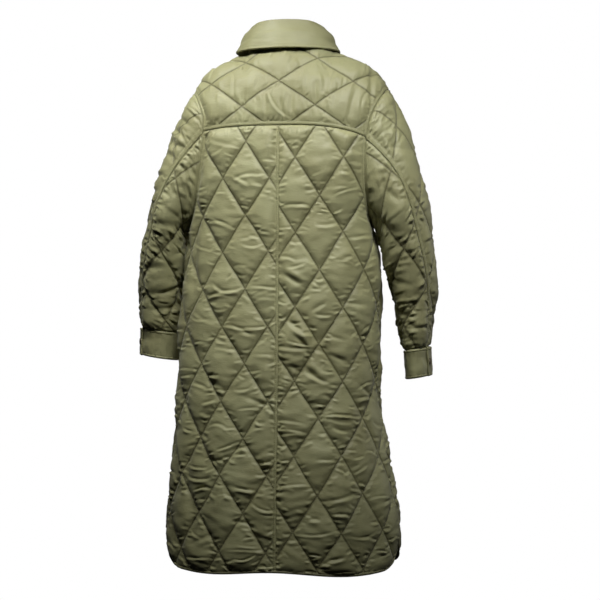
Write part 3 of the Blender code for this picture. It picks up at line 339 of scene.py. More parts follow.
def ringOutline(angle, halfWide, halfDeep):
    # Super-ellipse: half width by the sine and half depth by the cosine, both to the power 2/p.
    turn, power = np.radians(angle), 2 / sleeve["ringPower"]
    return halfWide * signedPower(np.sin(turn), power), halfDeep * signedPower(np.cos(turn), power)


def ringForm(angle, t, side):
    # The ring's outline about its middle, its plane tilted about y.
    x, y, z, tilt, halfWide, halfDeep = ringValues(t, side)
    wide, deep = ringOutline(angle, halfWide, halfDeep)
    tilt = np.radians(tilt)
    return np.stack([sign[side] * (x + wide * np.cos(tilt)), y + deep, z + wide * np.sin(tilt)], axis=-1)


def ringLengths(t, side):
    # Length round each ring from the outside, over the angles in turns.
    wide, deep = ringOutline(turns, *(v[:, None] for v in ringValues(t, side)[4:]))
    length = np.cumsum(np.hypot(np.diff(wide, axis=1), np.diff(deep, axis=1)), axis=1)
    length = np.concatenate([np.zeros((len(t), 1)), length], axis=1)
    outside = np.searchsorted(turns, 90.0)
    return length[:, outside:outside + 1] - length


lengthTables = {side: ringLengths(ringT, side) for side in ("left", "right")}
angleTables = {side: np.array([np.interp(-ringS, -row, turns) for row in lengthTables[side]])
               for side in ("left", "right")}


def angleOf(s, t, side):
    # Angle round the sleeve of a distance s from its outer line.
    row = (np.maximum(t, sleeve["tBicep"]) - ringT[0]) / (ringT[1] - ringT[0])
    return lookUp(angleTables[side], row, (s - ringS[0]) / (ringS[1] - ringS[0]))


def acrossOf(angle, t, side):
    # Distance from the sleeve's outer line of an angle round it.
    row = (np.maximum(t, sleeve["tBicep"]) - ringT[0]) / (ringT[1] - ringT[0])
    return lookUp(lengthTables[side], row, (angle - turns[0]) / (turns[1] - turns[0]))


def capT(angle, side):
    # Where the cap starts: its straight distance from the upper-arm ring.
    ring = ringForm(angle, sleeve["tBicep"] + 0 * angle, side)
    return sleeve["tBicep"] - np.linalg.norm(armhole(angle, side) - ring, axis=-1)


def sleeveForm(side):
    # Rings below the upper arm, and a Hermite curve from the armhole to the first ring.
    def form(s, t):
        # The place in space of a place (s, t) in the cloth's plane.
        angle = angleOf(s, t, side)
        low = ringForm(angle, np.maximum(t, sleeve["tBicep"]), side)
        start = armhole(angle, side)
        end = ringForm(angle, sleeve["tBicep"] + 0 * angle, side)
        reach = np.linalg.norm(end - start, axis=-1)[..., None]
        u = 1 - (sleeve["tBicep"] - t)[..., None] / reach
        down = unit(ringForm(angle, sleeve["tBicep"] + 0.02 + 0 * angle, side) - end)
        under = (1 - np.sin(np.radians(angle))) / 2
        out = sign[side] * (sleeve["capOut"] + sleeve["capOutLow"] * under)
        leave = np.stack([out, 0 * out, 0 * out - sleeve["capDown"]], axis=-1)
        cap = start * (1 + 2 * u) * (1 - u) ** 2 + end * u * u * (3 - 2 * u)
        cap += leave * reach * u * (1 - u) ** 2 - down * reach * u * u * (1 - u)
        return np.where((t >= sleeve["tBicep"])[..., None], low, cap)
    return form


def normalOf(form, s, t, outward):
    # Cross product of the form's two slopes, turned to the outside.
    e = 0.002
    ds = form(s + e, t) - form(s - e, t)
    dt = form(s, t + e) - form(s, t - e)
    normal = np.cross(ds, dt) * outward
    return normal / np.maximum(np.linalg.norm(normal, axis=-1), 1e-12)[..., None]


def curve(points, count):
    # A polyline read at even steps of its length.
    length = wayAlong(points)
    at = np.linspace(0, length[-1], count)
    return np.stack([np.interp(at, length, points[:, k]) for k in range(points.shape[1])], axis=1)


def sideSeam(z, side, face):
    # The side seam drifts back towards the hem, on the left more than on the right.
    along = (body["zUnderarm"] - z) / (body["zUnderarm"] - body["zHem"])
    keep = 1 - (1 - body["backShare"][side]) * ease(along * 1.1)
    back = np.interp(z, levelZ, levelTables[side, "back"][2])
    if face == "back":
        return keep * back
    return np.interp(z, levelZ, levelTables[side, "front"][2]) + (1 - keep) * back


def hemT(s, reach):
    # Height of the hem: it drops by the square of a sine between the centre and the side.
    drop = body["hemDrop"] * np.sin(math.pi * np.minimum(1.0, np.abs(s) / reach)) ** 2
    return body["zHem"] - body["zYoke"] - drop


def hemEdge(side, face, start):
    # Hem from the centre, then the rounded corner.
    edge = float(sideSeam(body["zHem"], side, face))
    s = np.linspace(start, edge - body["cornerWide"], 80)
    level = np.stack([s, hemT(s, edge)], axis=1)
    turn = np.linspace(0, math.pi / 2, 60)[1:]
    z = body["zYoke"] + level[-1, 1] + body["cornerHigh"] * (1 - np.cos(turn))
    out = sideSeam(z, side, face) - body["cornerWide"] * (1 - np.sin(turn))
    return level, np.stack([out, z - body["zYoke"]], axis=1)


def sideEdge(side, face, low):
    # The side seam from a height up to the underarm, in the cloth plane.
    z = np.linspace(body["zYoke"] + low, body["zUnderarm"], 160)
    return np.stack([sideSeam(z, side, face), z - body["zYoke"]], axis=1)


def armEdge(side, face, start, end):
    # The armhole between two angles, in the cloth plane of a face.
    p = armhole(np.linspace(start, end, 120), side)
    return clothOf(np.abs(p[:, 0]), p[:, 1], p[:, 2], side, face)


def yokeEnd(side):
    # Armhole angle where the yoke seam ends: the arcsine of its share of the armhole's height.
    z0, z1 = body["arm"][0, 0], body["arm"][-1, 0]
    z = body["zYoke"] - body["yokeDip"][side]
    return math.degrees(math.asin((z - (z0 + z1) / 2) / ((z1 - z0) / 2)))


def yokeSeam(s, side):
    # Height of the yoke seam: it dips by the cube of the distance from the centre.
    return -body["yokeDip"][side] * np.minimum(1.0, np.abs(s) / body["yokeReach"]) ** 3


def pastRidge(x, y, side):
    # Distance of a point in front of the shoulder's ridge, along the arc at its x.
    out = []
    for px, py in zip(x, y):
        row, arc = shoulderRow(px, side, "back")
        along = np.linspace(0, arc, len(row))
        out.append(np.interp(-py, -row, along) - np.interp(0.0, -row, along))
    return np.array(out)


def shoulderAngle(side):
    # Armhole angle at which the shoulder seam starts.
    angle = np.arange(90.0, 150.0, 0.5)
    p = armhole(angle, side)
    return float(np.interp(body["seamForward"], pastRidge(np.abs(p[:, 0]), p[:, 1], side), angle))


def neckPoint(turn, side):
    # Neck line in plan: 0 centre back, 180 centre front, laid on the shoulders.
    c = np.cos(np.radians(turn))
    x = np.maximum(body["neckHalf"] * np.sin(np.radians(turn)) + sign[side] * body["neckShift"], 0)
    y = np.where(c >= 0, body["neckBack"], body["neckFront"]) * c
    zFlat = body["zYoke"] + 0 * x
    reach = np.where(c >= 0, depthAt(x, zFlat, side, "back"), depthAt(x, zFlat, side, "front"))
    share = np.minimum(1.0, np.abs(y) / reach)
    z = body["zYoke"] + (ridgeHeight(x, side) - body["zYoke"]) * np.sqrt(1 - share ** 2)
    return np.stack([x, y, z], axis=-1)


def neckEdge(side, face, start, end):
    # The neck line between two turns, in the cloth plane of a face.
    p = neckPoint(np.linspace(start, end, 90), side)
    return clothOf(p[:, 0], p[:, 1], p[:, 2], side, face)


def neckTurn(side):
    # Turn round the neck at which the shoulder seam ends.
    turn = np.arange(80.0, 130.0, 0.5)
    p = neckPoint(turn, side)
    return float(np.interp(body["seamForward"], pastRidge(p[:, 0], p[:, 1], side), turn))


def shoulderLine(side, face):
    # Forward shoulder seam from the armhole to the neck.
    xOut = abs(armhole(np.array([shoulderAngle(side)]), side)[0, 0])
    xIn = neckPoint(np.array([neckTurn(side)]), side)[0, 0]
    x = np.linspace(xOut, xIn, 60)
    rows = [shoulderRow(px, side, "back") for px in x]
    arc = np.array([length for _, length in rows])
    middle = np.array([np.interp(0.0, -row, np.linspace(0, length, len(row))) for row, length in rows])
    top = middle + body["seamForward"]
    t = top if face == "back" else arc - top
    xs, _, total = levelTables[side, face]
    s = np.interp(x, xs[-1], np.linspace(0, total[-1], cols))
    return np.stack([s, t], axis=1)


def seamAngle(t, which):
    # Angle of the sleeve's back seam (1) or front seam (2) at t.
    return smoothCurve(t, sleeve["seams"][:, 0], sleeve["seams"][:, which])


def sleeveSeam(side, which):
    # Sleeve seam from the armhole to the cuff: it swings into its line over seamTurn.
    top = yokeEnd(side) if which == 1 else float(seamAngle(0.0, 2))
    start = float(capT(np.array([top]), side)[0])
    t = np.linspace(start, sleeve["tCuff"][side], 160)
    blend = ease((t - start) / sleeve["seamTurn"])
    return top * (1 - blend) + seamAngle(t, which) * blend, t


report("form tables")


def noise2(s, t, cellS, cellT, seed):
    # Value noise from -1 to 1: random values on a lattice, eased between them.
    grid = np.random.default_rng(seed).random((256, 256)) * 2 - 1
    x, y = s / cellS + 37.3, t / cellT + 51.7
    i, j = np.floor(x).astype(int), np.floor(y).astype(int)
    fx, fy = x - i, y - j
    fx = fx ** 3 * (fx * (fx * 6 - 15) + 10)
    fy = fy ** 3 * (fy * (fy * 6 - 15) + 10)
    low = grid[j % 256, i % 256] * (1 - fx) + grid[j % 256, (i + 1) % 256] * fx
    high = grid[(j + 1) % 256, i % 256] * (1 - fx) + grid[(j + 1) % 256, (i + 1) % 256] * fx
    return low * (1 - fy) + high * fy


def lineDistance(s, t, line, parts=90):
    # Shortest distance from every place to a line, and how far along the line it falls.
    line = curve(line, parts)
    flat = np.stack([s.ravel(), t.ravel()], axis=1).astype(np.float32)
    best = np.full(len(flat), 1e9, np.float32)
    along = np.zeros(len(flat), np.float32)
    for k, (a, b) in enumerate(zip(line[:-1], line[1:])):
        way = (b - a).astype(np.float32)
        u = np.clip(((flat - a.astype(np.float32)) @ way) / max(1e-12, float(way @ way)), 0, 1)
        d = np.hypot(flat[:, 0] - a[0] - u * way[0], flat[:, 1] - a[1] - u * way[1])
        near = d < best
        best[near] = d[near]
        along[near] = k + u[near]
    return best.reshape(s.shape).astype(float), (along / (parts - 1)).reshape(s.shape)


def fineShares(length, coarse, fineStart, fineEnd):
    # Shares from 0 to 1 whose steps shrink towards the two ends, each over the length of fade.
    x, fade = np.linspace(0, length, 2000), 0.012
    step = fineStart + (coarse - fineStart) * ease((x - 0.5 * fade) / fade)
    step = np.minimum(step, fineEnd + (coarse - fineEnd) * ease((length - x - 0.5 * fade) / fade))
    count = np.concatenate([[0], np.cumsum(np.diff(x) / step[1:])])
    half = int(math.ceil(count[-1] / 2))
    return np.interp(np.linspace(0, count[-1], 2 * half + 1), count, x) / length


def readCurve(line, share):
    # Places at shares of a line's length.
    length = wayAlong(line)
    at = share * length[-1]
    return np.stack([np.interp(at, length, line[:, k]) for k in range(2)], axis=-1)


def coonsPatch(bottom, top, left, right, u, v, leftShare=None):
    # Places spread between four boundary curves: the two ruled surfaces less the bilinear one.
    b, tt = readCurve(bottom, u), readCurve(top, u)
    l, r = readCurve(left, v if leftShare is None else leftShare), readCurve(right, v)
    uu, vv = u[None, :, None], v[:, None, None]
    rows = l[:, None] * (1 - uu) + r[:, None] * uu
    columns = b[None] * (1 - vv) + tt[None] * vv
    corners = (b[0] * (1 - uu) + b[-1] * uu) * (1 - vv) + (tt[0] * (1 - uu) + tt[-1] * uu) * vv
    return rows + columns - corners


def meshPiece(name, points, quads, uvs=None, masks=None, material=None):
    # One smooth object from points and faces, with its own maps and values.
    mesh = bpy.data.meshes.new(name)
    mesh.from_pydata(points.reshape(-1, 3).tolist(), [], quads.tolist() if hasattr(quads, "tolist") else quads)
    mesh.polygons.foreach_set("use_smooth", np.ones(len(mesh.polygons), bool))
    loops = np.empty(len(mesh.loops), int)
    mesh.loops.foreach_get("vertex_index", loops)
    for label, values in (uvs or {}).items():
        layer = mesh.uv_layers.new(name=label)
        layer.data.foreach_set("uv", values.reshape(-1, 2)[loops].ravel())
    for label, values in (masks or {}).items():
        layer = mesh.attributes.new(label, "FLOAT", "POINT")
        layer.data.foreach_set("value", values.ravel())
    mesh.update()
    piece = bpy.data.objects.new(name, mesh)
    bpy.context.scene.collection.objects.link(piece)
    if material:
        mesh.materials.append(material)
    return piece


def gridQuads(rows, columns, start=0):
    # Four-sided faces between the neighbours of a grid of points.
    a = np.arange(rows * columns).reshape(rows, columns) + start
    return np.stack([a[:-1, :-1], a[:-1, 1:], a[1:, 1:], a[1:, :-1]], axis=-1).reshape(-1, 4)


def boundaryIndex(rows, columns, start=0):
    # Vertex numbers round a grid's edge, in order.
    a = np.arange(rows * columns).reshape(rows, columns) + start
    return np.concatenate([a[0, :-1], a[:-1, -1], a[-1, :0:-1], a[:0:-1, 0]])


def wallFaces(rows, columns, flip):
    # Outer grid, inner grid of every second row and column, and the rim that joins them.
    outer = gridQuads(rows, columns)
    innerRows, innerCols = (rows + 1) // 2, (columns + 1) // 2
    inner = gridQuads(innerRows, innerCols, rows * columns)[:, ::-1]
    edge = boundaryIndex(rows, columns)
    innerEdge = boundaryIndex(innerRows, innerCols, rows * columns)
    a, b, c = edge[0::2], edge[1::2], np.roll(edge, -2)[0::2]
    d, e = innerEdge, np.roll(innerEdge, -1)
    rim = [list(f) for f in zip(b, a, d)] + [list(f) for f in zip(b, d, e)] + [list(f) for f in zip(c, b, e)]
    faces = outer.tolist() + inner.tolist() + [[int(i) for i in f] for f in rim]
    return [f[::-1] for f in faces] if flip else faces


quilt = {
    "wide": 0.0970,          # body diamond across
    "high": 0.1512,          # body diamond up and down
    "puff": 0.0084,          # rise of the wadding in the middle of a diamond
    "puffPower": 0.47,
    "wander": (0.0016, 0.0022),   # how far the stitch lines stray across and along
    "wall": 0.0022,
    "simStep": 0.0023,       # spacing of the relaxed sheet
    "rounds": 280,
    "quickRounds": 60,
    "pace": 0.3,             # share of each push that is followed
    "pull": (0.5, 0.1),      # of the straight and of the diagonal springs
    "loose": 0.004,          # the shell is quite free this far from a line
    "ceiling": (0.0003, 1.3, 40, 0.013),   # highest shell: at a line, by distance and its square, in all
    "edgeFade": 0.016,       # the wadding thins out this near a seam
    "lump": 0.0011,          # unevenness of the wadding
    "bend": 0.034,           # stiffness of the shell against creasing
    "creaseLean": 26.0,      # degrees either way
    "sag": 0.42,             # the wadding sits lower in each diamond
    "batting": 0.010,        # pull of the wadding on the shell
    "slackAlong": (0.026, 0.030),  # spare cloth up and down: mean and how much it varies
    "slackLow": 0.034,       # more of it towards the hem
    "slackAcross": (0.014, 0.020),
    "seedWave": 0.0018,      # height of the ripples that the relaxing starts from
    "ripples": ((0.9, 0.034, 0.0095), (0.6, 0.018, 0.0062)),   # their share, width and length
    "foldFade": 0.03,        # the larger folds fade out this near a seam
    "sharedOver": 0.014,     # reach of the direction shared at the armhole
}

# How each kind of seam lies: where the wadding, the creases, the quilting lines and their stitches
# start beside it, how far apart the ticks stand, its rows of sewing and the width of their grooves,
# how deep those are, how high and wide its band is, and the dip along the seam itself.
seamKinds = {
    "band": {"wadding": 0.0080, "creases": 0.0078, "lines": 0.0078, "stitches": 0.0088, "ticks": 1.0,
             "rows": (0.0014, 0.0062), "rowWide": (0.0007, 0.0008), "groove": 0.0006,
             "high": 0.0006, "wide": 0.0075, "slope": 0.0014, "dip": 0.0007, "dipWide": 0.0007},
    "ridge": {"wadding": 0.0058, "creases": 0.0056, "lines": 0.0056, "stitches": 0.0066, "ticks": 0.7,
              "rows": (0.0010, 0.0044), "rowWide": (0.0006, 0.0008), "groove": 0.0007,
              "high": 0.0011, "wide": 0.0054, "slope": 0.0010, "dip": 0.0008, "dipWide": 0.0006},
    "under": {"wadding": 0.0025, "creases": 0.0016, "lines": 0.0014, "stitches": 0.0026, "ticks": 0.8,
              "rows": (), "rowWide": (), "groove": 0.0,
              "high": 0.0, "wide": 0.0, "slope": 1.0, "dip": 0.0019, "dipWide": 0.0036},
    "edge": {"wadding": 0.0030, "creases": 0.0020, "lines": 0.0010, "stitches": 0.0040, "ticks": 1.5,
             "rows": (), "rowWide": (), "groove": 0.0,
             "high": 0.0, "wide": 0.0, "slope": 1.0, "dip": 0.0004, "dipWide": 0.0010},
}

creases = {
    "step": 0.0011,          # spacing of the height table
    "across": 4,             # long creases in a diamond
    "ticks": 5,              # short ones starting from each side of a diamond
    "longDepth": (0.0008, 0.0028),
    "tickDepth": (0.0006, 0.0019),
    "width": (0.0017, 0.0033),
    "seamGap": 0.0080,       # mean distance between the ticks beside a seam
    "seamDepth": (0.0007, 0.0019),
    "lowShare": 0.85,        # how much deeper they are at the hem
    "most": (-0.0036, 0.0030),
    "bow": 0.3,
    "longShare": (0.25, 0.95),         # of the diamond's width
    "kept": 0.75,            # share of the long ones that is drawn
    "tickLong": (0.008, 0.026),
    "seamLong": (0.016, 0.050),
    "seamTurn": 0.33,
}


# start and step of the table of real distances, across and along
spreadFrom, spreadStep = (-0.16, 0.02), (0.002, 0.01)


def spreadTable(side):
    # Real distance from the sleeve's outer line for each place: the cap widens towards the armhole.
    s, t = np.meshgrid(np.linspace(spreadFrom[0], 0.30, 231), np.linspace(spreadFrom[1], 0.66, 65))
    points = sleeveForm(side)(s, t)
    size = np.linalg.norm(np.diff(points, axis=1), axis=-1)
    step = np.clip(size / spreadStep[0], 0.6, 2.4) * spreadStep[0]
    length = np.concatenate([np.zeros((len(s), 1)), np.cumsum(step, axis=1)], axis=1)
    return length - length[:, 80:81]   # the outer line lies in this column


spreadTables = {side: spreadTable(side) for side in ("left", "right")}


def spread(s, t, side):
    # The table of those distances, read at s and t.
    row, col = (t - spreadFrom[1]) / spreadStep[1], (s - spreadFrom[0]) / spreadStep[0]
    return lookUp(spreadTables[side], row, col)


def latticeOf(s, t, lattice):
    # Stitch lines lie where p or q is a whole number: p = a + b, q = a - b, both bent a little.
    n = lattice["seed"]
    across = spread(s, t, lattice["spread"]) if "spread" in lattice else s
    sBent = across + quilt["wander"][0] * noise2(s, t, 0.055, 0.070, n + 1)
    tBent = t + quilt["wander"][1] * noise2(s, t, 0.060, 0.060, n + 2)
    a = (sBent - lattice["s"]) / lattice["wide"]
    b = (tBent - lattice["t"]) / lattice["high"]
    return a + b, a - b


def lineGap(p, q, lattice):
    # Distance to the nearest quilting line: how far p or q is from a whole number, in metres.
    scale = math.hypot(1 / lattice["wide"], 1 / lattice["high"])
    return np.minimum(np.abs(p - np.round(p)), np.abs(q - np.round(q))) / scale


def foldRise(s, t, folds):
    # Sum of soft ridges and troughs: a bell across, a bell along, each leaning its own way.
    total = np.zeros(s.shape)
    for foldS, foldT, halfLong, halfWide, depth, lean in folds:
        turn = math.radians(lean)
        along = (t - foldT) * math.cos(turn) + (s - foldS) * math.sin(turn)
        across = (s - foldS) * math.cos(turn) - (t - foldT) * math.sin(turn)
        total += depth * np.exp(-(along / halfLong) ** 2 - (across / halfWide) ** 2)
    return total


def creaseStrokes(box, seams, lattice):
    # Rows of s, t, turn, length, half width, depth and bow: some right across a diamond, short
    # ones from its four sides inwards, and short ones square to the seams.
    rng = np.random.default_rng(lattice["seed"])
    wide, high = lattice["wide"], lattice["high"]
    cornerP, cornerQ = [], []
    for s in (box[0], box[2]):
        for t in (box[1], box[3]):
            a, b = (s - lattice["s"]) / wide, (t - lattice["t"]) / high
            cornerP.append(a + b)
            cornerQ.append(a - b)
    i, j = np.meshgrid(np.arange(math.floor(min(cornerP)), max(cornerP)),
                       np.arange(math.floor(min(cornerQ)), max(cornerQ)))
    i, j = i.ravel(), j.ravel()
    strength = lattice.get("creased", 1.0)
    tilt = math.pi / 2 if lattice.get("swap") else 0.0
    spreadTurn = lattice.get("creaseTurn", 0.36)

    def between(key, count):
        # Values between two limits, more of them near the low one.
        low, high = creases[key]
        return low + (high - low) * rng.random(count) ** 1.6

    def bow(long):
        # How much a crease bends: less on a long one.
        return rng.normal(0, creases["bow"], len(long)) / long

    rows = []
    for _ in range(creases["across"]):
        level = np.clip(rng.normal(-0.06, 0.22, i.size), -0.42, 0.42)
        if lattice.get("swap"):
            reach = (0.5 - np.abs(level)) * high * 2
            s0, t0 = lattice["s"] + wide * ((i + j + 1) / 2 + level), lattice["t"] + high * (i - j) / 2
        else:
            reach = (0.5 - np.abs(level)) * wide * 2
            s0, t0 = lattice["s"] + wide * (i + j + 1) / 2, lattice["t"] + high * ((i - j) / 2 + level)
        long = reach * rng.uniform(*creases["longShare"], i.size)
        shift = (reach - long) * rng.uniform(-0.5, 0.5, i.size)
        s0, t0 = s0 + shift * math.cos(tilt), t0 + shift * math.sin(tilt)
        keep = rng.random(i.size) < creases["kept"]
        depth = between("longDepth", i.size) * strength * keep
        rows.append(np.stack([s0, t0, tilt + rng.normal(0, 0.6 * spreadTurn, i.size), long,
                              between("width", i.size) * 1.15, depth, bow(long)], axis=1))
    for side in range(4):
        for _ in range(lattice.get("ticks", creases["ticks"])):
            share = rng.random(i.size)
            p = i + (share if side < 2 else float(side - 2))
            q = j + (float(side) if side < 2 else share)
            s0, t0 = lattice["s"] + wide * (p + q) / 2, lattice["t"] + high * (p - q) / 2
            inward = 1.0 if side in (0, 2) else -1.0
            turn = tilt + rng.normal(0, spreadTurn, i.size)
            long = rng.uniform(*creases["tickLong"], i.size)
            upward = np.sin(tilt) if lattice.get("swap") else 0.0
            s0 = s0 + inward * np.cos(turn) * long * 0.5 * (1 - upward)
            t0 = t0 + inward * np.sin(turn) * long * 0.5
            rows.append(np.stack([s0, t0, turn, long, between("width", i.size),
                                  between("tickDepth", i.size) * strength, bow(long)], axis=1))
    for line, kind in seams:
        length = wayAlong(line)[-1]
        count = int(length / (creases["seamGap"] * seamKinds[kind]["ticks"])) + 1
        at = np.sort(rng.random(count)) * length
        place = readCurve(line, at / length)
        ahead = readCurve(line, np.clip(at / length + 0.01, 0, 1)) - readCurve(line, np.clip(at / length - 0.01, 0, 1))
        turn = np.arctan2(ahead[:, 1], ahead[:, 0]) + math.pi / 2 + rng.normal(0, creases["seamTurn"], count)
        turn = (turn + math.pi / 2) % math.pi - math.pi / 2
        long = rng.uniform(*creases["seamLong"], count) * (1.0 if kind != "edge" else 0.6)
        rows.append(np.stack([place[:, 0], place[:, 1], turn, long, between("width", count) * 0.9,
                              between("seamDepth", count) * strength * lattice.get("seamCreased", 1.0),
                              bow(long)], axis=1))
    return np.concatenate(rows)


def creaseTable(box, seams, lattice):
    # Sum of the strokes: a narrow trough with a softer ridge under it, fading to both ends.
    h = creases["step"]
    rowCount, columnCount = int((box[3] - box[1]) / h) + 2, int((box[2] - box[0]) / h) + 2
    total = np.zeros((rowCount, columnCount))
    for s0, t0, turn, long, width, depth, bow in creaseStrokes(box, seams, lattice):
        if depth <= 0:
            continue
        reach = 0.5 * long + 4 * width
        c0, c1 = int((s0 - reach - box[0]) / h), int((s0 + reach - box[0]) / h) + 1
        r0, r1 = int((t0 - reach - box[1]) / h), int((t0 + reach - box[1]) / h) + 1
        c0, r0, c1, r1 = max(c0, 0), max(r0, 0), min(c1, columnCount), min(r1, rowCount)
        if c1 <= c0 or r1 <= r0:
            continue
        x = (box[0] + h * np.arange(c0, c1) - s0)[None, :]
        y = (box[1] + h * np.arange(r0, r1) - t0)[:, None]
        along = x * math.cos(turn) + y * math.sin(turn)
        across = y * math.cos(turn) - x * math.sin(turn) + bow * along ** 2
        fade = np.clip(1 - (2 * along / long) ** 2, 0, 1)
        shape = 0.8 * np.exp(-((across + 1.7 * width) / (1.3 * width)) ** 2) - np.exp(-(across / width) ** 2)
        total[r0:r1, c0:c1] += depth * fade * shape
    if lattice.get("down"):
        # weaker along the sleeve's outer line
        columnS = np.abs(box[0] + h * np.arange(columnCount))
        total *= 0.45 + 0.55 * ease((columnS - 0.018) / 0.035)[None, :]
    elif not lattice.get("swap"):
        rowT = box[1] + h * np.arange(rowCount)
        total *= 0.75 + creases["lowShare"] * ease((-0.10 - rowT) / 0.6)[:, None]
    return np.clip(total, *creases["most"])


def relaxSheet(box, seams, lattice, slack):
    # A sheet with spare cloth, held at the stitch lines and seams, is relaxed until its springs
    # rest: the shell buckles into puckers over the wadding. All points move at once each round.
    h = quilt["simStep"]
    s, t = np.meshgrid(np.arange(box[0], box[2] + h, h), np.arange(box[1], box[3] + h, h))
    p, q = latticeOf(s, t, lattice)
    gapLine = lineGap(p, q, lattice)
    edge = np.full(s.shape, 1.0)
    for line, kind in seams:
        edge = np.minimum(edge, lineDistance(s, t, line, 50)[0] - seamKinds[kind]["wadding"])
    edge = np.maximum(edge, 0.0)
    held = np.minimum(gapLine, edge)
    full = (np.abs(np.sin(math.pi * p)) * np.abs(np.sin(math.pi * q))) ** quilt["puffPower"]
    padding = quilt["puff"] * lattice.get("puffShare", 1.0) * full * np.clip(edge / quilt["edgeFade"], 0, 1) ** 0.6
    n = lattice["seed"]
    # each diamond has its own share of spare cloth and its own lean of the creases
    cellP, cellQ = np.floor(p), np.floor(q)
    lot = np.modf(np.abs(np.sin(cellP * 12.9898 + cellQ * 78.233 + n) * 43758.5453))[0]
    turn = np.modf(np.abs(np.sin(cellP * 39.3468 + cellQ * 11.135 + n) * 24634.6345))[0]
    low = np.clip((q - cellQ) - (p - cellP), -1, 1) * (-1 if lattice.get("down") else 1)
    along, across = (s, t) if lattice.get("swap") else (t, s)
    lean = np.tan(np.radians(quilt["creaseLean"] * (2 * turn - 1)))
    skew = along + across * lean + 0.2 * turn
    seedWave = sum(high * noise2(across, skew, wide, long, n + 4 + k)
                   for k, (high, wide, long) in enumerate(quilt["ripples"]))
    padding *= (1 + quilt["sag"] * low) * (0.88 + 0.24 * lot)
    padding += quilt["lump"] * noise2(s, t, 0.024, 0.018, n + 9) * ease(held / 0.012)
    loose = np.clip(held / quilt["loose"], 0, 1)
    sheet = np.stack([s, t, 0.9 * padding + quilt["seedWave"] * seedWave * loose])
    alongMean, alongVary = quilt["slackAlong"]
    acrossMean, acrossVary = quilt["slackAcross"]
    share = (0.35 + 1.2 * lot) * (0.60 + 0.80 * ease((low + 0.45) / 1.1))
    share *= 1.25 - 0.85 * ease((held - 0.006) / 0.018)
    if "quiet" in lattice:
        share *= 1 - 0.55 * ease((np.abs(s) - lattice["quiet"]) / 0.05)
    alongMean = alongMean + quilt["slackLow"] * ease((-0.05 - t) / 0.7)
    spareT = np.clip((alongMean + alongVary * noise2(s, t, 0.035, 0.04, n + 6)) * share, 0, 0.25) * slack
    spareS = np.clip(acrossMean + acrossVary * noise2(s, t, 0.04, 0.05, n + 7), 0, 0.1) * slack
    if lattice.get("swap"):
        spareS, spareT = spareT, spareS
    restS, restT = h * (1 + spareS), h * (1 + spareT)
    restD = np.hypot(restS, restT)
    least, rising, steeper, most = quilt["ceiling"]
    ceiling = np.minimum(least + rising * held + steeper * held ** 2, most)
    straight, diagonal = quilt["pull"]
    links = [(np.s_[:, :-1], np.s_[:, 1:], restS[:, :-1], straight),
             (np.s_[:-1, :], np.s_[1:, :], restT[:-1, :], straight),
             (np.s_[:-1, :-1], np.s_[1:, 1:], restD[:-1, :-1], diagonal),
             (np.s_[1:, :-1], np.s_[:-1, 1:], restD[1:, :-1], diagonal)]
    for _ in range(quilt["rounds"]):
        push = np.zeros_like(sheet)
        for a, b, rest, pull in links:
            way = sheet[(slice(None),) + b] - sheet[(slice(None),) + a]
            size = np.sqrt((way ** 2).sum(0))
            way *= (size - rest) / np.maximum(size, 1e-9) * pull
            push[(slice(None),) + a] += way
            push[(slice(None),) + b] -= way
        for axis in (1, 2):
            part = np.moveaxis(sheet, axis, 1)
            force = np.moveaxis(push, axis, 1)
            bend = quilt["bend"] * (part[:, 2:] - 2 * part[:, 1:-1] + part[:, :-2])
            force[:, 1:-1] += bend
            force[:, 2:] -= 0.5 * bend
            force[:, :-2] -= 0.5 * bend
        push[2] += quilt["batting"] * (padding - sheet[2])
        push[:2] *= loose
        sheet += quilt["pace"] * push
        sheet[2] = np.clip(sheet[2], 0.0, ceiling)
    return {"box": box, "h": h, "dx": sheet[0] - s, "dy": sheet[1] - t, "z": sheet[2],
            "creases": creaseTable(box, seams, lattice)}


def readSheet(field, s, t):
    # The relaxed sheet's shift across, shift along and height at s and t.
    row, col = (t - field["box"][1]) / field["h"], (s - field["box"][0]) / field["h"]
    return [lookUp(field[k], row, col) for k in ("dx", "dy", "z")]


def readCreases(field, s, t):
    # Height of the creases at s and t.
    h = creases["step"]
    return lookUp(field["creases"], (t - field["box"][1]) / h, (s - field["box"][0]) / h)


def seamRelief(d, kind):
    # Height over a seam: a raised band less a bell along each row of sewing and a dip at the seam.
    k = seamKinds[kind]
    sewn = sum(np.exp(-((d - row) / wide) ** 2) for row, wide in zip(k["rows"], k["rowWide"]))
    return k["high"] * ease((k["wide"] - d) / k["slope"]) - k["groove"] * sewn - k["dip"] * ease(1 - d / k["dipWide"])


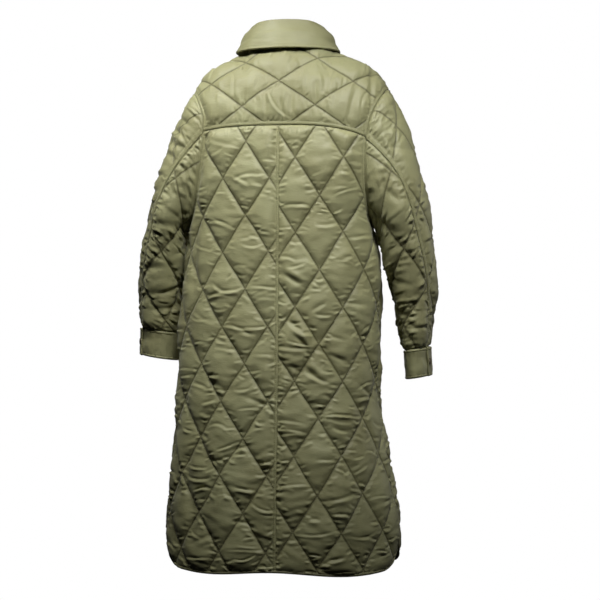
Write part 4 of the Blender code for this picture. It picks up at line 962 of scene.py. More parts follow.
def quiltPanel(name, spec, form, patch, outward, material):
    # One quilted piece: places in the cloth plane, the relaxed sheet over them, and both walls.
    s, t = patch[..., 0], patch[..., 1]
    lines = spec["lines"]
    near = {key: lineDistance(s, t, line) for key, (line, kind) in lines.items()}
    box = (s.min() - 0.01, t.min() - 0.01, s.max() + 0.01, t.max() + 0.01)
    field = relaxSheet(box, list(lines.values()), spec["lattice"], spec.get("slack", 1.0))
    dx, dy, z = readSheet(field, s, t)
    edge = np.min([near[key][0] for key in lines], axis=0)
    fold = foldRise(s, t, spec["folds"]) * ease(edge / quilt["foldFade"])
    p, q = latticeOf(s, t, spec["lattice"])
    clear = np.min([near[key][0] - seamKinds[kind]["creases"] for key, (line, kind) in lines.items()], axis=0)
    free = np.clip(lineGap(p, q, spec["lattice"]) / 0.0040, 0, 1) * np.clip(clear / 0.002, 0.3, 1)
    z = np.maximum(z + readCreases(field, s, t) * free, 0.0)
    base = form(s, t)
    moved = form(s + dx, t + dy)
    normal = normalOf(form, s, t, outward)
    for key, (angles, side) in spec["armSeams"].items():
        # both pieces share one direction at the armhole, so the seam stays closed
        d, along = near[key]
        shared = seamNormals(side)(np.interp(along, np.linspace(0, 1, len(angles)), angles))
        mix = ease(1 - d / quilt["sharedOver"])[..., None]
        normal = unit(normal * (1 - mix) + shared * mix)
    rise = quilt["wall"] + z + fold
    for key, (line, kind) in lines.items():
        rise += seamRelief(near[key][0], kind)
    outer = moved + normal * rise[..., None]
    inner = (base + normal * (fold + 0.0002)[..., None])[::2, ::2]
    quiltOn = np.min([near[key][0] > seamKinds[kind]["lines"] for key, (line, kind) in lines.items()], axis=0)
    rows, columns = s.shape
    du, dv = outer[1:-1, 2:] - outer[1:-1, :-2], outer[2:, 1:-1] - outer[:-2, 1:-1]
    flip = (np.cross(du, dv) * normal[1:-1, 1:-1]).sum() < 0
    points = np.concatenate([outer.reshape(-1, 3), inner.reshape(-1, 3)])
    maps = {"cloth": np.stack([s, t], -1), "quilt": np.stack([p, q], -1)}
    uvs = {k: np.concatenate([m.reshape(-1, 2), m[::2, ::2].reshape(-1, 2)]) for k, m in maps.items()}
    masks = {"quiltOn": np.concatenate([quiltOn.astype(float).ravel(), np.zeros(inner.shape[0] * inner.shape[1])])}
    piece = meshPiece(name, points, wallFaces(rows, columns, flip), uvs, masks, material)
    spec["surface"] = (form, outward)
    spec["outline"] = np.concatenate([patch[0, :-1], patch[:-1, -1], patch[-1, :0:-1], patch[:0:-1, 0]])
    report("%s, %d triangles" % (name, sum(len(f.vertices) - 2 for f in piece.data.polygons)))
    return piece


sharedTables = {}   # filled at their first use


def seamNormals(side):
    # Mean of the body's and the sleeve's outward directions all round the armhole.
    if side not in sharedTables:
        angle = np.arange(-100.0, 281.0, 3.0)
        p = armhole(angle, side)
        total = np.zeros(p.shape)
        for face in ("back", "front"):
            on = (np.cos(np.radians(angle)) >= 0) == (face == "back")
            place = clothOf(np.abs(p[:, 0]), p[:, 1], p[:, 2], side, face)
            n = normalOf(bodyForm(face), sign[side] * place[:, 0], place[:, 1], 1.0)
            out = p - np.stack([0 * angle, 0 * angle, np.minimum(p[:, 2], -0.22)], axis=1)
            n *= np.sign((n * out).sum(1))[:, None]
            total[on] += n[on]
        wrap = np.where(angle > 270, angle - 360, angle)
        s = acrossOf(wrap, sleeve["tBicep"] + 0 * wrap, side)
        n = normalOf(sleeveForm(side), s, capT(wrap, side) + 0.004, 1.0)
        middle = np.array([sign[side] * 0.15, 0.0, -0.22])
        n *= np.sign((n * (p - middle)).sum(1))[:, None]
        total += n
        sharedTables[side] = (angle, unit(total))
    angle, total = sharedTables[side]
    return lambda at: np.stack([np.interp(at, angle, total[:, k]) for k in range(3)], axis=-1)


cloth = {
    "olive": (0.297, 0.296, 0.154),
    "oliveDeep": (0.238, 0.230, 0.112),
    "roughness": 0.52,
    "specular": 0.38,
    "sheen": (0.10, 0.4),    # its weight and roughness
    "patches": 9.0,          # uneven tone, to the metre
    "weave": (2600.0, 0.00003),       # threads to the metre, and their height
    "crinkle": (95.0, 0.00060),       # small crinkles to the metre, and their height
    "pucker": (75, 210, 0.00030),     # fine folds beside the quilting lines: along, across, height
    "puckerReach": 0.018,
    "lineWide": 0.0036,      # sunk quilting line, with painted shade along it
    "lineDeep": 0.0009,
    # painted shade in the valleys along the quilting lines: the colour it darkens towards, and how strongly
    "lineTint": (0.22, 0.19, 0.14, 1),
    "stitchDark": 0.72,
    "binding": 0.72,         # the binding's tone beside the cloth's
}


def addNode(tree, kind, **values):
    # A shader node: a value that is another node's output is linked to it, the rest is set on it.
    made = tree.nodes.new("ShaderNode" + kind)
    for key, value in values.items():
        if isinstance(value, bpy.types.NodeSocket):
            tree.links.new(value, made.inputs[key])
        elif key in made.inputs:
            made.inputs[key].default_value = value
        else:
            setattr(made, key, value)
    return made


def mathNode(tree, operation, *values):
    # One sum on numbers or on other nodes' outputs.
    made = addNode(tree, "Math", operation=operation)
    for k, value in enumerate(values):
        if isinstance(value, (int, float)):
            made.inputs[k].default_value = value
        else:
            tree.links.new(value, made.inputs[k])
    return made.outputs[0]


def newMaterial(name, **values):
    # A material with its shader's values set.
    made = bpy.data.materials.new(name)
    made.use_nodes = True
    shader = made.node_tree.nodes["Principled BSDF"]
    for key, value in values.items():
        shader.inputs[key.replace("_", " ")].default_value = value
    return made, made.node_tree, shader


def twoTones(tree, tone, low, high, lowAt=0.0, highAt=1.0):
    # A ramp from one colour to the other, read by a noise's value.
    ramp = addNode(tree, "ValToRGB", Fac=tone)
    for element, colour, at in zip(ramp.color_ramp.elements, (low, high), (lowAt, highAt)):
        element.position, element.color = at, (*colour, 1)
    return ramp.outputs["Color"]


def quiltMarks(tree, lattice, colour, height):
    # Fine folds beside the quilting lines, and the lines sunk, with painted shade along them. The distance to a line
    # is how far either part of the map "quilt" is from a whole number, in metres.
    parts = addNode(tree, "SeparateXYZ", Vector=addNode(tree, "UVMap", uv_map="quilt").outputs["UV"])
    scale = math.hypot(1 / lattice["wide"], 1 / lattice["high"])
    away = []
    for axis in ("X", "Y"):
        whole = mathNode(tree, "ROUND", parts.outputs[axis])
        away.append(mathNode(tree, "ABSOLUTE", mathNode(tree, "SUBTRACT", parts.outputs[axis], whole)))
    near = mathNode(tree, "DIVIDE", mathNode(tree, "MINIMUM", *away), scale)
    on = addNode(tree, "Attribute", attribute_name="quiltOn").outputs["Fac"]
    along, across, foldHigh = cloth["pucker"]
    squeeze = addNode(tree, "Mapping", Vector=addNode(tree, "UVMap", uv_map="cloth").outputs["UV"],
                      Scale=(across, along, 1) if lattice.get("swap") else (along, across, 1))
    fine = addNode(tree, "TexNoise", noise_dimensions="2D", noise_type="RIDGED_MULTIFRACTAL", Scale=1.0, Detail=2.0,
                   Roughness=0.55, Distortion=0.6, Vector=squeeze.outputs["Vector"])
    beside = mathNode(tree, "SUBTRACT", 1.0, mathNode(tree, "MULTIPLY", near, 1 / cloth["puckerReach"]))
    beside = mathNode(tree, "MULTIPLY_ADD", mathNode(tree, "MAXIMUM", beside, 0.0), 0.85, 0.15)
    folds = mathNode(tree, "MULTIPLY", fine.outputs["Fac"], beside)
    height = mathNode(tree, "MULTIPLY_ADD", folds, foldHigh, height)
    line = mathNode(tree, "SUBTRACT", 1.0, mathNode(tree, "MULTIPLY", near, 1 / cloth["lineWide"]))
    line = mathNode(tree, "POWER", mathNode(tree, "MAXIMUM", line, 0.0), 1.5)
    line = mathNode(tree, "MULTIPLY", line, mathNode(tree, "GREATER_THAN", on, 0.5))
    # painted shade: the colour is darkened along the sunk lines, where the valleys between the puffs lie in shade
    lineShadeMix = addNode(tree, "Mix", data_type="RGBA", blend_type="MULTIPLY")
    tree.links.new(mathNode(tree, "MULTIPLY", line, cloth["stitchDark"]), lineShadeMix.inputs["Factor"])
    tree.links.new(colour, lineShadeMix.inputs["A"])
    lineShadeMix.inputs["B"].default_value = cloth["lineTint"]
    return lineShadeMix.outputs["Result"], mathNode(tree, "MULTIPLY_ADD", line, -cloth["lineDeep"], height)


def nylon(name, share=1.0, lattice=None):
    # Satin nylon: uneven tone, a fine weave and a soft crinkle, with sunk quilting lines and painted shade along them
    # if it has a lattice.
    made, tree, shader = newMaterial(name, Roughness=cloth["roughness"], Specular_IOR_Level=cloth["specular"],
                                     Sheen_Weight=cloth["sheen"][0], Sheen_Roughness=cloth["sheen"][1])
    place = addNode(tree, "TexCoord").outputs["Object"]
    tone = addNode(tree, "TexNoise", Scale=cloth["patches"], Detail=3.0, Roughness=0.55, Vector=place)
    olive, deep = ([share * c for c in cloth[key]] for key in ("olive", "oliveDeep"))
    colour = twoTones(tree, tone.outputs["Fac"], deep, olive, 0.30, 0.75)
    stretch = addNode(tree, "Mapping", Scale=(0.55, 0.55, 1.35), Vector=place).outputs["Vector"]
    crinkle = addNode(tree, "TexNoise", Scale=cloth["crinkle"][0], Detail=3.0, Roughness=0.6, Vector=stretch)
    weave = addNode(tree, "TexNoise", Scale=cloth["weave"][0], Detail=1.0, Vector=place)
    height = mathNode(tree, "MULTIPLY", crinkle.outputs["Fac"], cloth["crinkle"][1])
    height = mathNode(tree, "MULTIPLY_ADD", weave.outputs["Fac"], cloth["weave"][1], height)
    if lattice:
        colour, height = quiltMarks(tree, lattice, colour, height)
    bump = addNode(tree, "Bump", Strength=1.0, Distance=1.0, Height=height)
    tree.links.new(bump.outputs["Normal"], shader.inputs["Normal"])
    tree.links.new(colour, shader.inputs["Base Color"])
    return made


def diamonds(s, t, seed, **more):
    # A panel's quilting: the place of one crossing, the diamonds' size and the seed of their unevenness.
    return dict({"s": s, "t": t, "wide": quilt["wide"], "high": quilt["high"], "seed": seed}, **more)


sleeveQuilt = {"puffShare": 0.85, "down": True, "creased": 1.9, "creaseTurn": 0.60, "ticks": 8}
bodyQuilts = {
    "backLeft": diamonds(0.0172, -0.4171 - body["zYoke"], 100, quiet=0.16),
    "backRight": diamonds(-0.0368, -0.5280 - body["zYoke"], 200, quiet=0.15),
    "frontLeft": diamonds(0.0300, -0.4400 - body["zYoke"], 300),
    "frontRight": diamonds(-0.0120, -0.5000 - body["zYoke"], 400),
    "yoke": dict(diamonds(0.0, 0.0925, 500, swap=True, puffShare=0.62, creased=0.8, seamCreased=1.5),
                 wide=quilt["high"], high=0.1060),
    "sleeveLeft": diamonds(0.0, 0.2100, 600, **sleeveQuilt),
    "sleeveRight": diamonds(0.0, 0.2100, 700, **sleeveQuilt),
}

# the larger folds: s outwards from the centre (to the wearer's left on the yoke), t, half length,
# half width, depth, lean in degrees
bodyFolds = {
    "backRight": [
        (0.165, -0.035, 0.100, 0.014, -0.004, 8), (0.142, -0.060, 0.110, 0.020, 0.004, 6),
        (0.120, -0.740, 0.180, 0.030, 0.005, -3), (0.200, -0.800, 0.150, 0.026, -0.004, -4),
        (0.197, -0.079, 0.070, 0.006, -0.0045, -4), (0.030, -0.314, 0.022, 0.0050, -0.0034, -56),
        (0.038, -0.306, 0.022, 0.0060, 0.0026, -56), (0.051, -0.440, 0.016, 0.0048, -0.0046, -42),
        (0.035, -0.406, 0.020, 0.0048, -0.0042, -52), (0.060, -0.436, 0.026, 0.0065, 0.0044, -19),
        (0.043, -0.424, 0.018, 0.0060, 0.0034, -46), (0.074, -0.506, 0.022, 0.0050, -0.0044, -49),
        (0.082, -0.498, 0.022, 0.0060, 0.0030, -49), (0.041, -0.495, 0.017, 0.0048, -0.0038, -62),
        (0.125, -0.474, 0.024, 0.0046, -0.0036, -65), (0.121, -0.433, 0.015, 0.0042, -0.0028, -77),
        (0.158, -0.364, 0.020, 0.0046, -0.0030, -84), (0.191, -0.543, 0.026, 0.0050, -0.0032, -54)],
    "backLeft": [
        (0.145, -0.080, 0.110, 0.018, 0.004, -10), (0.110, -0.720, 0.200, 0.030, 0.005, 3),
        (0.158, -0.030, 0.022, 0.006, -0.0032, -34), (0.184, -0.289, 0.067, 0.010, -0.004, -3),
        (0.183, -0.776, 0.071, 0.012, -0.004, 9), (0.212, -0.706, 0.062, 0.012, 0.004, 15),
        (0.040, -0.560, 0.022, 0.0050, -0.0034, 70), (0.075, -0.655, 0.026, 0.0050, -0.0034, -74),
        (0.120, -0.530, 0.024, 0.0050, -0.0030, 68), (0.060, -0.805, 0.026, 0.0055, -0.0036, 76),
        (0.150, -0.840, 0.024, 0.0055, -0.0036, -66)],
    "frontLeft": [
        (0.140, -0.650, 0.220, 0.030, 0.005, 3), (0.130, -0.080, 0.090, 0.018, -0.005, 10),
        (0.090, -0.400, 0.024, 0.0060, -0.0034, -60), (0.170, -0.520, 0.026, 0.0060, -0.0034, 62),
        (0.180, -0.130, 0.050, 0.0080, -0.0040, 20), (0.080, -0.700, 0.026, 0.0060, -0.0034, 74)],
    "frontRight": [
        (0.140, -0.650, 0.220, 0.030, 0.005, -3), (0.130, -0.080, 0.090, 0.018, -0.005, -10),
        (0.100, -0.470, 0.024, 0.0060, -0.0034, 60), (0.160, -0.610, 0.026, 0.0060, -0.0034, -62),
        (0.175, -0.110, 0.050, 0.0080, -0.0040, -18), (0.070, -0.770, 0.026, 0.0060, -0.0034, -72)],
    "sleeveLeft": [
        (0.044, 0.130, 0.036, 0.0055, -0.0042, 87), (0.064, 0.154, 0.026, 0.0055, -0.0046, 90),
        (0.055, 0.177, 0.030, 0.0055, -0.0042, 88), (0.048, 0.104, 0.022, 0.0055, -0.0036, 84),
        (0.056, 0.142, 0.030, 0.0060, 0.0036, 88), (0.060, 0.166, 0.028, 0.0060, 0.0034, 88),
        (0.134, 0.249, 0.024, 0.0060, -0.0048, -35), (0.045, 0.249, 0.052, 0.0060, -0.0036, -76),
        (0.082, 0.303, 0.045, 0.0060, -0.0036, -79), (0.081, 0.343, 0.016, 0.0055, 0.0032, 39),
        (0.146, 0.350, 0.026, 0.0050, -0.0038, -58), (0.053, 0.396, 0.045, 0.0060, 0.0036, -70),
        (0.060, 0.410, 0.045, 0.0060, -0.0034, -70), (0.113, 0.445, 0.045, 0.0060, -0.0038, -72),
        (0.108, 0.483, 0.035, 0.0060, -0.0038, -75), (0.021, 0.500, 0.022, 0.0100, 0.0065, -2),
        (-0.050, 0.200, 0.040, 0.0060, -0.0040, 70), (-0.060, 0.390, 0.040, 0.0060, -0.0036, 75),
        (0.220, 0.330, 0.030, 0.0060, -0.0036, 60), (0.200, 0.460, 0.035, 0.0060, -0.0036, 78)],
    "sleeveRight": [
        (0.065, 0.153, 0.024, 0.0050, -0.0038, -2), (0.062, 0.173, 0.016, 0.0050, -0.0034, -36),
        (0.058, 0.123, 0.015, 0.0050, -0.0034, -29), (0.098, 0.257, 0.024, 0.0050, -0.0038, -21),
        (0.125, 0.307, 0.026, 0.0060, -0.0044, -48), (0.078, 0.337, 0.017, 0.0050, -0.0034, -63),
        (0.076, 0.369, 0.016, 0.0050, -0.0034, -70), (0.119, 0.418, 0.030, 0.0050, -0.0038, -63),
        (0.112, 0.482, 0.030, 0.0050, -0.0038, -63), (0.105, 0.496, 0.030, 0.0060, 0.0032, -60),
        (0.085, 0.508, 0.035, 0.0050, -0.0038, -46), (0.089, 0.545, 0.040, 0.0050, -0.0032, -80),
        (-0.055, 0.210, 0.040, 0.0060, -0.0040, 70), (-0.060, 0.420, 0.040, 0.0060, -0.0036, 75),
        (0.225, 0.350, 0.030, 0.0060, -0.0036, 60), (0.205, 0.480, 0.035, 0.0060, -0.0036, 78)],
    "yoke": [
        (0.093, 0.050, 0.035, 0.0050, -0.0024, 4), (0.071, 0.040, 0.030, 0.0045, -0.0020, -3),
        (0.026, 0.060, 0.040, 0.0045, -0.0022, 2), (-0.006, 0.045, 0.032, 0.0045, -0.0022, 0),
        (-0.028, 0.040, 0.030, 0.0050, -0.0024, 3), (-0.048, 0.085, 0.030, 0.0060, 0.0020, -4),
        (-0.077, 0.050, 0.034, 0.0050, -0.0024, 5), (-0.105, 0.055, 0.034, 0.0060, 0.0018, -5),
        (-0.150, 0.045, 0.045, 0.0070, -0.0036, -14), (0.125, 0.060, 0.035, 0.0060, 0.0018, 6),
        (0.176, 0.044, 0.028, 0.0050, -0.0036, 37), (0.166, 0.042, 0.031, 0.0050, -0.0036, 25),
        (-0.188, 0.100, 0.070, 0.0060, -0.0042, 3)],
}

panels = {
    "lap": 0.0032,           # the left back laps over the right back at the centre
    "lapBack": 0.0020,       # the right back stops this much short of it
    "stepBack": 0.0023,
    "stepFront": 0.0031,
    "stepYoke": 0.0023,
    "stepSleeve": 0.0025,
    "fine": 0.0010,          # spacing beside a seam
    # width and length that the spacing is worked out for
    "wideOf": {"body": 0.24, "yoke": 0.42, "upper": 0.20, "under": 0.14},
    "longOf": {"yoke": 0.21, "upper": 0.46, "under": 0.40},
}

quiltCloth = nylon("quiltedNylon", lattice=bodyQuilts["backLeft"])
yokeCloth = nylon("yokeNylon", lattice=bodyQuilts["yoke"])
plainCloth = nylon("plainNylon")


def mirrored(line, side):
    # A line of the left side, or the same one across the centre line.
    return line * np.array([sign[side], 1.0])


def risingShare(right, v):
    # Where each row starts on the left edge: it rises with the right edge, never standing still.
    r = readCurve(right, v)
    climb = np.maximum(np.diff(r[:, 1]), 0.35 * np.linalg.norm(np.diff(r, axis=0), axis=1))
    return np.concatenate([[0], np.cumsum(climb)]) / climb.sum()


def anglesAlong(places, start, end):
    # Armhole angles at even steps of length along an edge.
    angle = np.linspace(start, end, len(places))
    length = wayAlong(places)
    return np.interp(np.linspace(0, length[-1], 90), length, angle)


def bodyPanel(side, face):
    # A back or front panel: hem, corner, side seam, armhole, top and centre line, filled in between.
    lapEdge = -panels["lap"] if side == "left" else panels["lap"] - panels["lapBack"]
    start = {"front": body["bandHalf"], "back": lapEdge}[face]
    level, corner = hemEdge(side, face, start)
    up = sideEdge(side, face, corner[-1, 1])
    if face == "back":
        end = yokeEnd(side)
        arm, first = armEdge(side, face, -90.0, end), -90.0
        seam = np.linspace(start, arm[-1, 0], 120)
        top = np.stack([seam, yokeSeam(seam, side)], axis=1)
        top[-1] = arm[-1]
    else:
        end, first = shoulderAngle(side), 270.0
        arm = armEdge(side, face, 270.0, end)
        neck = neckEdge(side, face, neckTurn(side), 180.0)
        neck = neck[neck[:, 0] >= start]
        neck = np.concatenate([neck, [[start, neck[-1, 1]]]])
        line = shoulderLine(side, face)
        line[0] = arm[-1]
        top = np.concatenate([line, neck[1:]])[::-1]
    right = np.concatenate([level[-1:], corner, up[1:], arm[1:]])
    left = np.stack([np.linspace(level[0, k], top[0, k], 200) for k in (0, 1)], axis=1)
    step = panels["stepBack" if face == "back" else "stepFront"]
    u = fineShares(panels["wideOf"]["body"], step, panels["fine"], panels["fine"] * 1.5)
    v = fineShares(lengthOf(right), step, panels["fine"] * 1.5, panels["fine"])
    patch = coonsPatch(level, top, left, right, u, v, risingShare(right, v))
    patch[..., 0] *= sign[side]
    key = joined(face, side)
    centreKind = {"front": "edge", "back": "ridge" if side == "left" else "under"}[face]
    spec = {
        "lattice": bodyQuilts[key],
        "folds": [(sign[side] * f[0],) + f[1:5] + (sign[side] * f[5],) for f in bodyFolds[key]],
        "lines": {"centre": (mirrored(left, side), centreKind),
                  "top": (mirrored(top, side), "under" if face == "back" else "edge"),
                  "arm": (mirrored(arm, side), "band"),
                  "side": (mirrored(up, side), "edge"),
                  "hem": (mirrored(np.concatenate([level, corner]), side), "edge")},
        "armSeams": {"arm": (anglesAlong(arm, first, end), side)},
    }
    return quiltPanel(key, spec, bodyForm(face), patch, outwardOf(face), quiltCloth), spec


def outwardOf(face):
    # s runs to the wearer's left and t up, so their cross product points forward.
    return -1.0 if face == "back" else 1.0


def yokePanel():
    # The yoke: its seam below, both armholes, the two shoulder seams and the neck, filled in between.
    parts = {}
    for side in ("left", "right"):
        arm = armEdge(side, "back", yokeEnd(side), shoulderAngle(side))
        line = shoulderLine(side, "back")
        line[0] = arm[-1]
        neck = neckEdge(side, "back", neckTurn(side), 0.0)
        neck[0] = line[-1]
        neck[-1, 0] = 0.0
        seam = np.linspace(arm[0, 0], 0.0, 100)
        low = np.stack([seam, yokeSeam(seam, side)], axis=1)
        low[0] = arm[0]
        lines = {"arm": arm, "line": line, "neck": neck, "low": low}
        parts[side] = {key: mirrored(line, side) for key, line in lines.items()}
    left, right = parts["left"], parts["right"]
    bottom = np.concatenate([right["low"], left["low"][::-1][1:]])
    top = np.concatenate([right["line"], right["neck"][1:], left["neck"][::-1][1:], left["line"][::-1][1:]])
    u = fineShares(panels["wideOf"]["yoke"], panels["stepYoke"], panels["fine"], panels["fine"])
    v = fineShares(panels["longOf"]["yoke"], panels["stepYoke"], panels["fine"], panels["fine"] * 1.5)
    patch = coonsPatch(bottom, top, right["arm"], left["arm"], u, v)
    spec = {
        "lattice": bodyQuilts["yoke"],
        "folds": bodyFolds["yoke"],
        "slack": 0.6,
        "lines": {"low": (bottom, "band"),
                  "armRight": (right["arm"], "band"), "armLeft": (left["arm"], "band"),
                  "lineRight": (right["line"], "band"), "lineLeft": (left["line"], "band"),
                  "neck": (np.concatenate([right["neck"], left["neck"][::-1][1:]]), "edge")},
        "armSeams": {joined("arm", side): (anglesAlong(parts[side]["arm"], yokeEnd(side), shoulderAngle(side)), side)
                     for side in ("right", "left")},
    }
    return quiltPanel("backYoke", spec, bodyForm("back"), patch, outwardOf("back"), yokeCloth), spec


def sleevePanel(side, part):
    # The upper or under half of a sleeve: cap, back seam, front seam and cuff line, filled in between.
    end = sleeve["tCuff"][side]
    backAngle, backT = sleeveSeam(side, 1)
    frontAngle, frontT = sleeveSeam(side, 2)
    backTop, frontTop = yokeEnd(side), float(seamAngle(0.0, 2))
    if part == "under":
        frontAngle, frontTop = frontAngle - 360.0, frontTop - 360.0
    back = np.stack([acrossOf(backAngle, backT, side), backT], axis=1)[::-1]
    front = np.stack([acrossOf(frontAngle, frontT, side), frontT], axis=1)[::-1]
    angle = np.linspace(frontTop, backTop, 160)
    cap = np.stack([acrossOf(angle, 0 * angle, side), capT(angle, side) + 0.0002], axis=1)
    angle = np.linspace(frontAngle[-1], backAngle[-1], 100)
    low = np.stack([acrossOf(angle, end + 0 * angle, side), end + 0 * angle], axis=1)
    step, fine = panels["stepSleeve"], panels["fine"]
    u = fineShares(panels["wideOf"][part], step, fine, fine)
    v = fineShares(panels["longOf"][part], step, fine * 1.5, fine * 1.5)
    upper = part == "upper"
    if upper:
        patch = coonsPatch(low, cap, front, back, u, v)
    else:
        patch = coonsPatch(low[::-1], cap[::-1], back, front, u, v)
    key = joined("sleeve", side)
    spec = {
        "lattice": dict(bodyQuilts[key], seed=bodyQuilts[key]["seed"] + (0 if upper else 40), spread=side),
        "slack": 1.2,
        "folds": bodyFolds[key],
        "lines": {"back": (back, "band" if upper else "under"), "front": (front, "edge"),
                  "cap": (cap, "under"), "cuff": (low, "under")},
        "armSeams": {"cap": (anglesAlong(cap, frontTop, backTop), side)},
    }
    return quiltPanel(joined("sleeve", part, side), spec, sleeveForm(side), patch, -sign[side], quiltCloth), spec


pieces = {}
specs = {}
for side in ("left", "right"):
    for face in ("back", "front"):
        key = joined(face, side)
        pieces[key], specs[key] = bodyPanel(side, face)
pieces["backYoke"], specs["backYoke"] = yokePanel()
for side in ("left", "right"):
    for part in ("upper", "under"):
        key = joined("sleeve", part, side)
        pieces[key], specs[key] = sleevePanel(side, part)

# strips, cuffs and collar are a cross-section carried along a path
trim = {
    "thick": 0.0024,
    "stripThick": 0.0046,    # over the quilted cloth
    "edgeRound": 0.0022,
    "step": 0.0009,          # spacing across and along
    "along": 0.0042,
    "edgeRow": 0.0016,       # first row of topstitching from an edge
    "secondRow": 0.0062,
    "groove": 0.0006,
    "grooveWide": 0.0008,
    "ripple": 0.0005,        # small waves of the cloth beside the sewing
}


def bothRows(width):
    # The two rows of sewing beside each edge of a strip.
    return trim["edgeRow"], trim["secondRow"], width - trim["edgeRow"], width - trim["secondRow"]


def crossSection(width, thick, rows):
    # Closed loop round a flat strip: over the top with round edges and sewn grooves, back below.
    edge = min(thick, trim["edgeRound"])
    count = int(width / trim["step"])
    a = width * (0.5 - 0.5 * np.cos(np.linspace(0, math.pi, count)))
    a = 0.35 * a + 0.65 * np.linspace(0, width, count)
    near = np.minimum(a, width - a)
    b = thick * np.sqrt(np.clip(1 - np.clip(1 - near / edge, 0, 1) ** 2, 0, 1))
    b += 0.0004 * np.sin(math.pi * np.clip(near / 0.007, 0, 1))
    for row in rows:
        b -= trim["groove"] * np.exp(-((a - row) / trim["grooveWide"]) ** 2)
    below = np.linspace(width, 0, max(4, count // 3))
    return np.concatenate([a, below[1:-1]]), np.concatenate([b, 0 * below[1:-1]])


def carried(name, points, material):
    # Faces between neighbouring cross-sections (rows), with the two ends closed.
    rows, columns = points.shape[:2]
    grid = np.arange(rows * columns).reshape(rows, columns)
    after = np.roll(grid, -1, axis=1)
    quads = np.stack([grid[:-1], after[:-1], after[1:], grid[1:]], axis=-1).reshape(-1, 4)
    middle = points.mean(axis=1)
    flat = points.reshape(-1, 3)
    normal = np.cross(flat[after[:-1]] - flat[grid[:-1]], flat[grid[1:]] - flat[grid[:-1]])
    turned = (normal * (flat[grid[:-1]] - middle[:-1, None])).sum() < 0
    faces = quads.tolist() + [grid[0].tolist()[::-1], grid[-1].tolist()]
    return meshPiece(name, points, [f[::-1] if turned else f for f in faces], material=material)


def stripOn(name, form, outward, line, width, rows, lift, material, lean=1.0):
    # A strip sewn on a panel: it follows a line in the cloth plane and lies to the left of it.
    length = wayAlong(line)[-1]
    count = max(6, int(length / trim["along"]))
    at = np.linspace(0, length, count)
    path = curve(line, count)
    way = unit(np.gradient(path, axis=0))
    aside = np.stack([-way[:, 1], way[:, 0]], axis=-1) * lean
    a, b = crossSection(width, trim["stripThick"], rows)
    s = path[:, :1] + aside[:, :1] * a
    t = path[:, 1:] + aside[:, 1:] * a
    wave = noise2(at[:, None] + 0 * a, a + 0 * at[:, None], 0.009, 0.006, 31) * trim["ripple"]
    rise = lift + b + np.where(b > 0.3 * trim["stripThick"], wave, 0.0)
    points = form(s, t) + normalOf(form, s, t, outward) * rise[..., None]
    return carried(name, points, material)


def ringNormal(angle, t, side):
    # Cross product of the sleeve ring's two slopes, turned away from its middle.
    around = ringForm(angle + 1.0, t, side) - ringForm(angle - 1.0, t, side)
    along = ringForm(angle, t + 0.002, side) - ringForm(angle, t - 0.002, side)
    normal = unit(np.cross(around, along))
    x, y, z, _, _, _ = ringValues(t, side)
    out = ringForm(angle, t, side) - np.stack([sign[side] * x, y, z], axis=-1)
    return normal * np.where((normal * out).sum(-1) < 0, -1.0, 1.0)[..., None]


cuff = {
    "lap": 16.0,             # degrees past the slit
    "round": 386.0,
    "off": 0.0012,
    "liftFrom": 75.0,
    "liftOver": 40.0,
    "stud": 0.031,           # from the cuff's upper edge
    "around": 0.0009,        # metres to a degree, for the waves
    "folds": [(0.02, 0.020, 0.05, 0.010, -0.0012, 80), (0.05, 0.040, 0.05, 0.010, 0.0010, 95)],
}


def cuffStart(side):
    # Angle where the cuff's upper end lies, past the slit.
    return float(seamAngle(sleeve["tCuff"][side], 1)) + cuff["lap"]


def makeCuff(side):
    # A flat band once round the wrist, its end lifting over its start.
    high = sleeve["cuffHigh"] - gap
    a, b = crossSection(high, trim["thick"] + 0.0005, bothRows(high))
    start = cuffStart(side)
    angle = np.linspace(start, start - cuff["round"], 150)[:, None]
    over = ease((start - cuff["round"] + cuff["liftFrom"] - angle) / cuff["liftOver"])
    lift = cuff["off"] + over * (trim["thick"] + gap + 0.0008)
    turn = np.where(angle >= -180, angle, angle + 360) + 0 * a
    t = sleeve["tCuff"][side] + gap + a + 0 * angle
    place = angle * cuff["around"] + 0 * a, a + 0 * angle
    wave = noise2(*place, 0.010, 0.014, 77 + int(sign[side]))
    rise = lift + b + np.where(b > 0.001, wave * 0.0007, 0.0)
    rise += np.where(b > 0.001, 1, 0) * foldRise(*place, cuff["folds"])
    points = ringForm(turn, t, side) + ringNormal(turn, t, side) * rise[..., None]
    return carried(joined("cuffBand", side), points, plainCloth)


placket = {"wide": 0.0108, "thick": 0.0034, "cut": 0.0150, "stand": {"left": 0.0016, "right": 0.0006}}


def makePlacket(side):
    # Narrow sewn strip beside the sleeve's slit; the left one stands off as a loop.
    t = np.linspace(sleeve["tCuff"][side] - sleeve["slitHigh"] + 2 * gap, sleeve["tCuff"][side] + 0.002, 40)
    wide = placket["wide"]
    a, b = crossSection(wide, placket["thick"], (trim["edgeRow"], wide - trim["edgeRow"]))
    s = acrossOf(seamAngle(t, 1), t, side)[:, None] + 2 * gap + a
    tt = t[:, None] + 0 * a
    share = (t - t[0]) / (t[-1] - t[0])
    stand = placket["stand"][side] * np.sin(math.pi * share) ** 1.5
    form = sleeveForm(side)
    points = form(s, tt) + normalOf(form, s, tt, -sign[side]) * (b + 0.0004 + stand[:, None])[..., None]
    return carried(joined("slitPlacket", side), points, plainCloth)


tape = {"row": body["bindWide"] - trim["edgeRow"], "lift": -0.0007, "cut": 0.0135}
bandTop = float(neckEdge("left", "front", 180.0, 180.0)[0, 1]) - 0.001
bandLow = float(hemT(np.array([0.0]), np.array([1.0]))[0])
bandWide = 2 * (body["bandHalf"] - gap / 2)
bandLine = np.stack([np.full(300, -bandWide / 2), np.linspace(bandTop, bandLow, 300)], axis=-1)


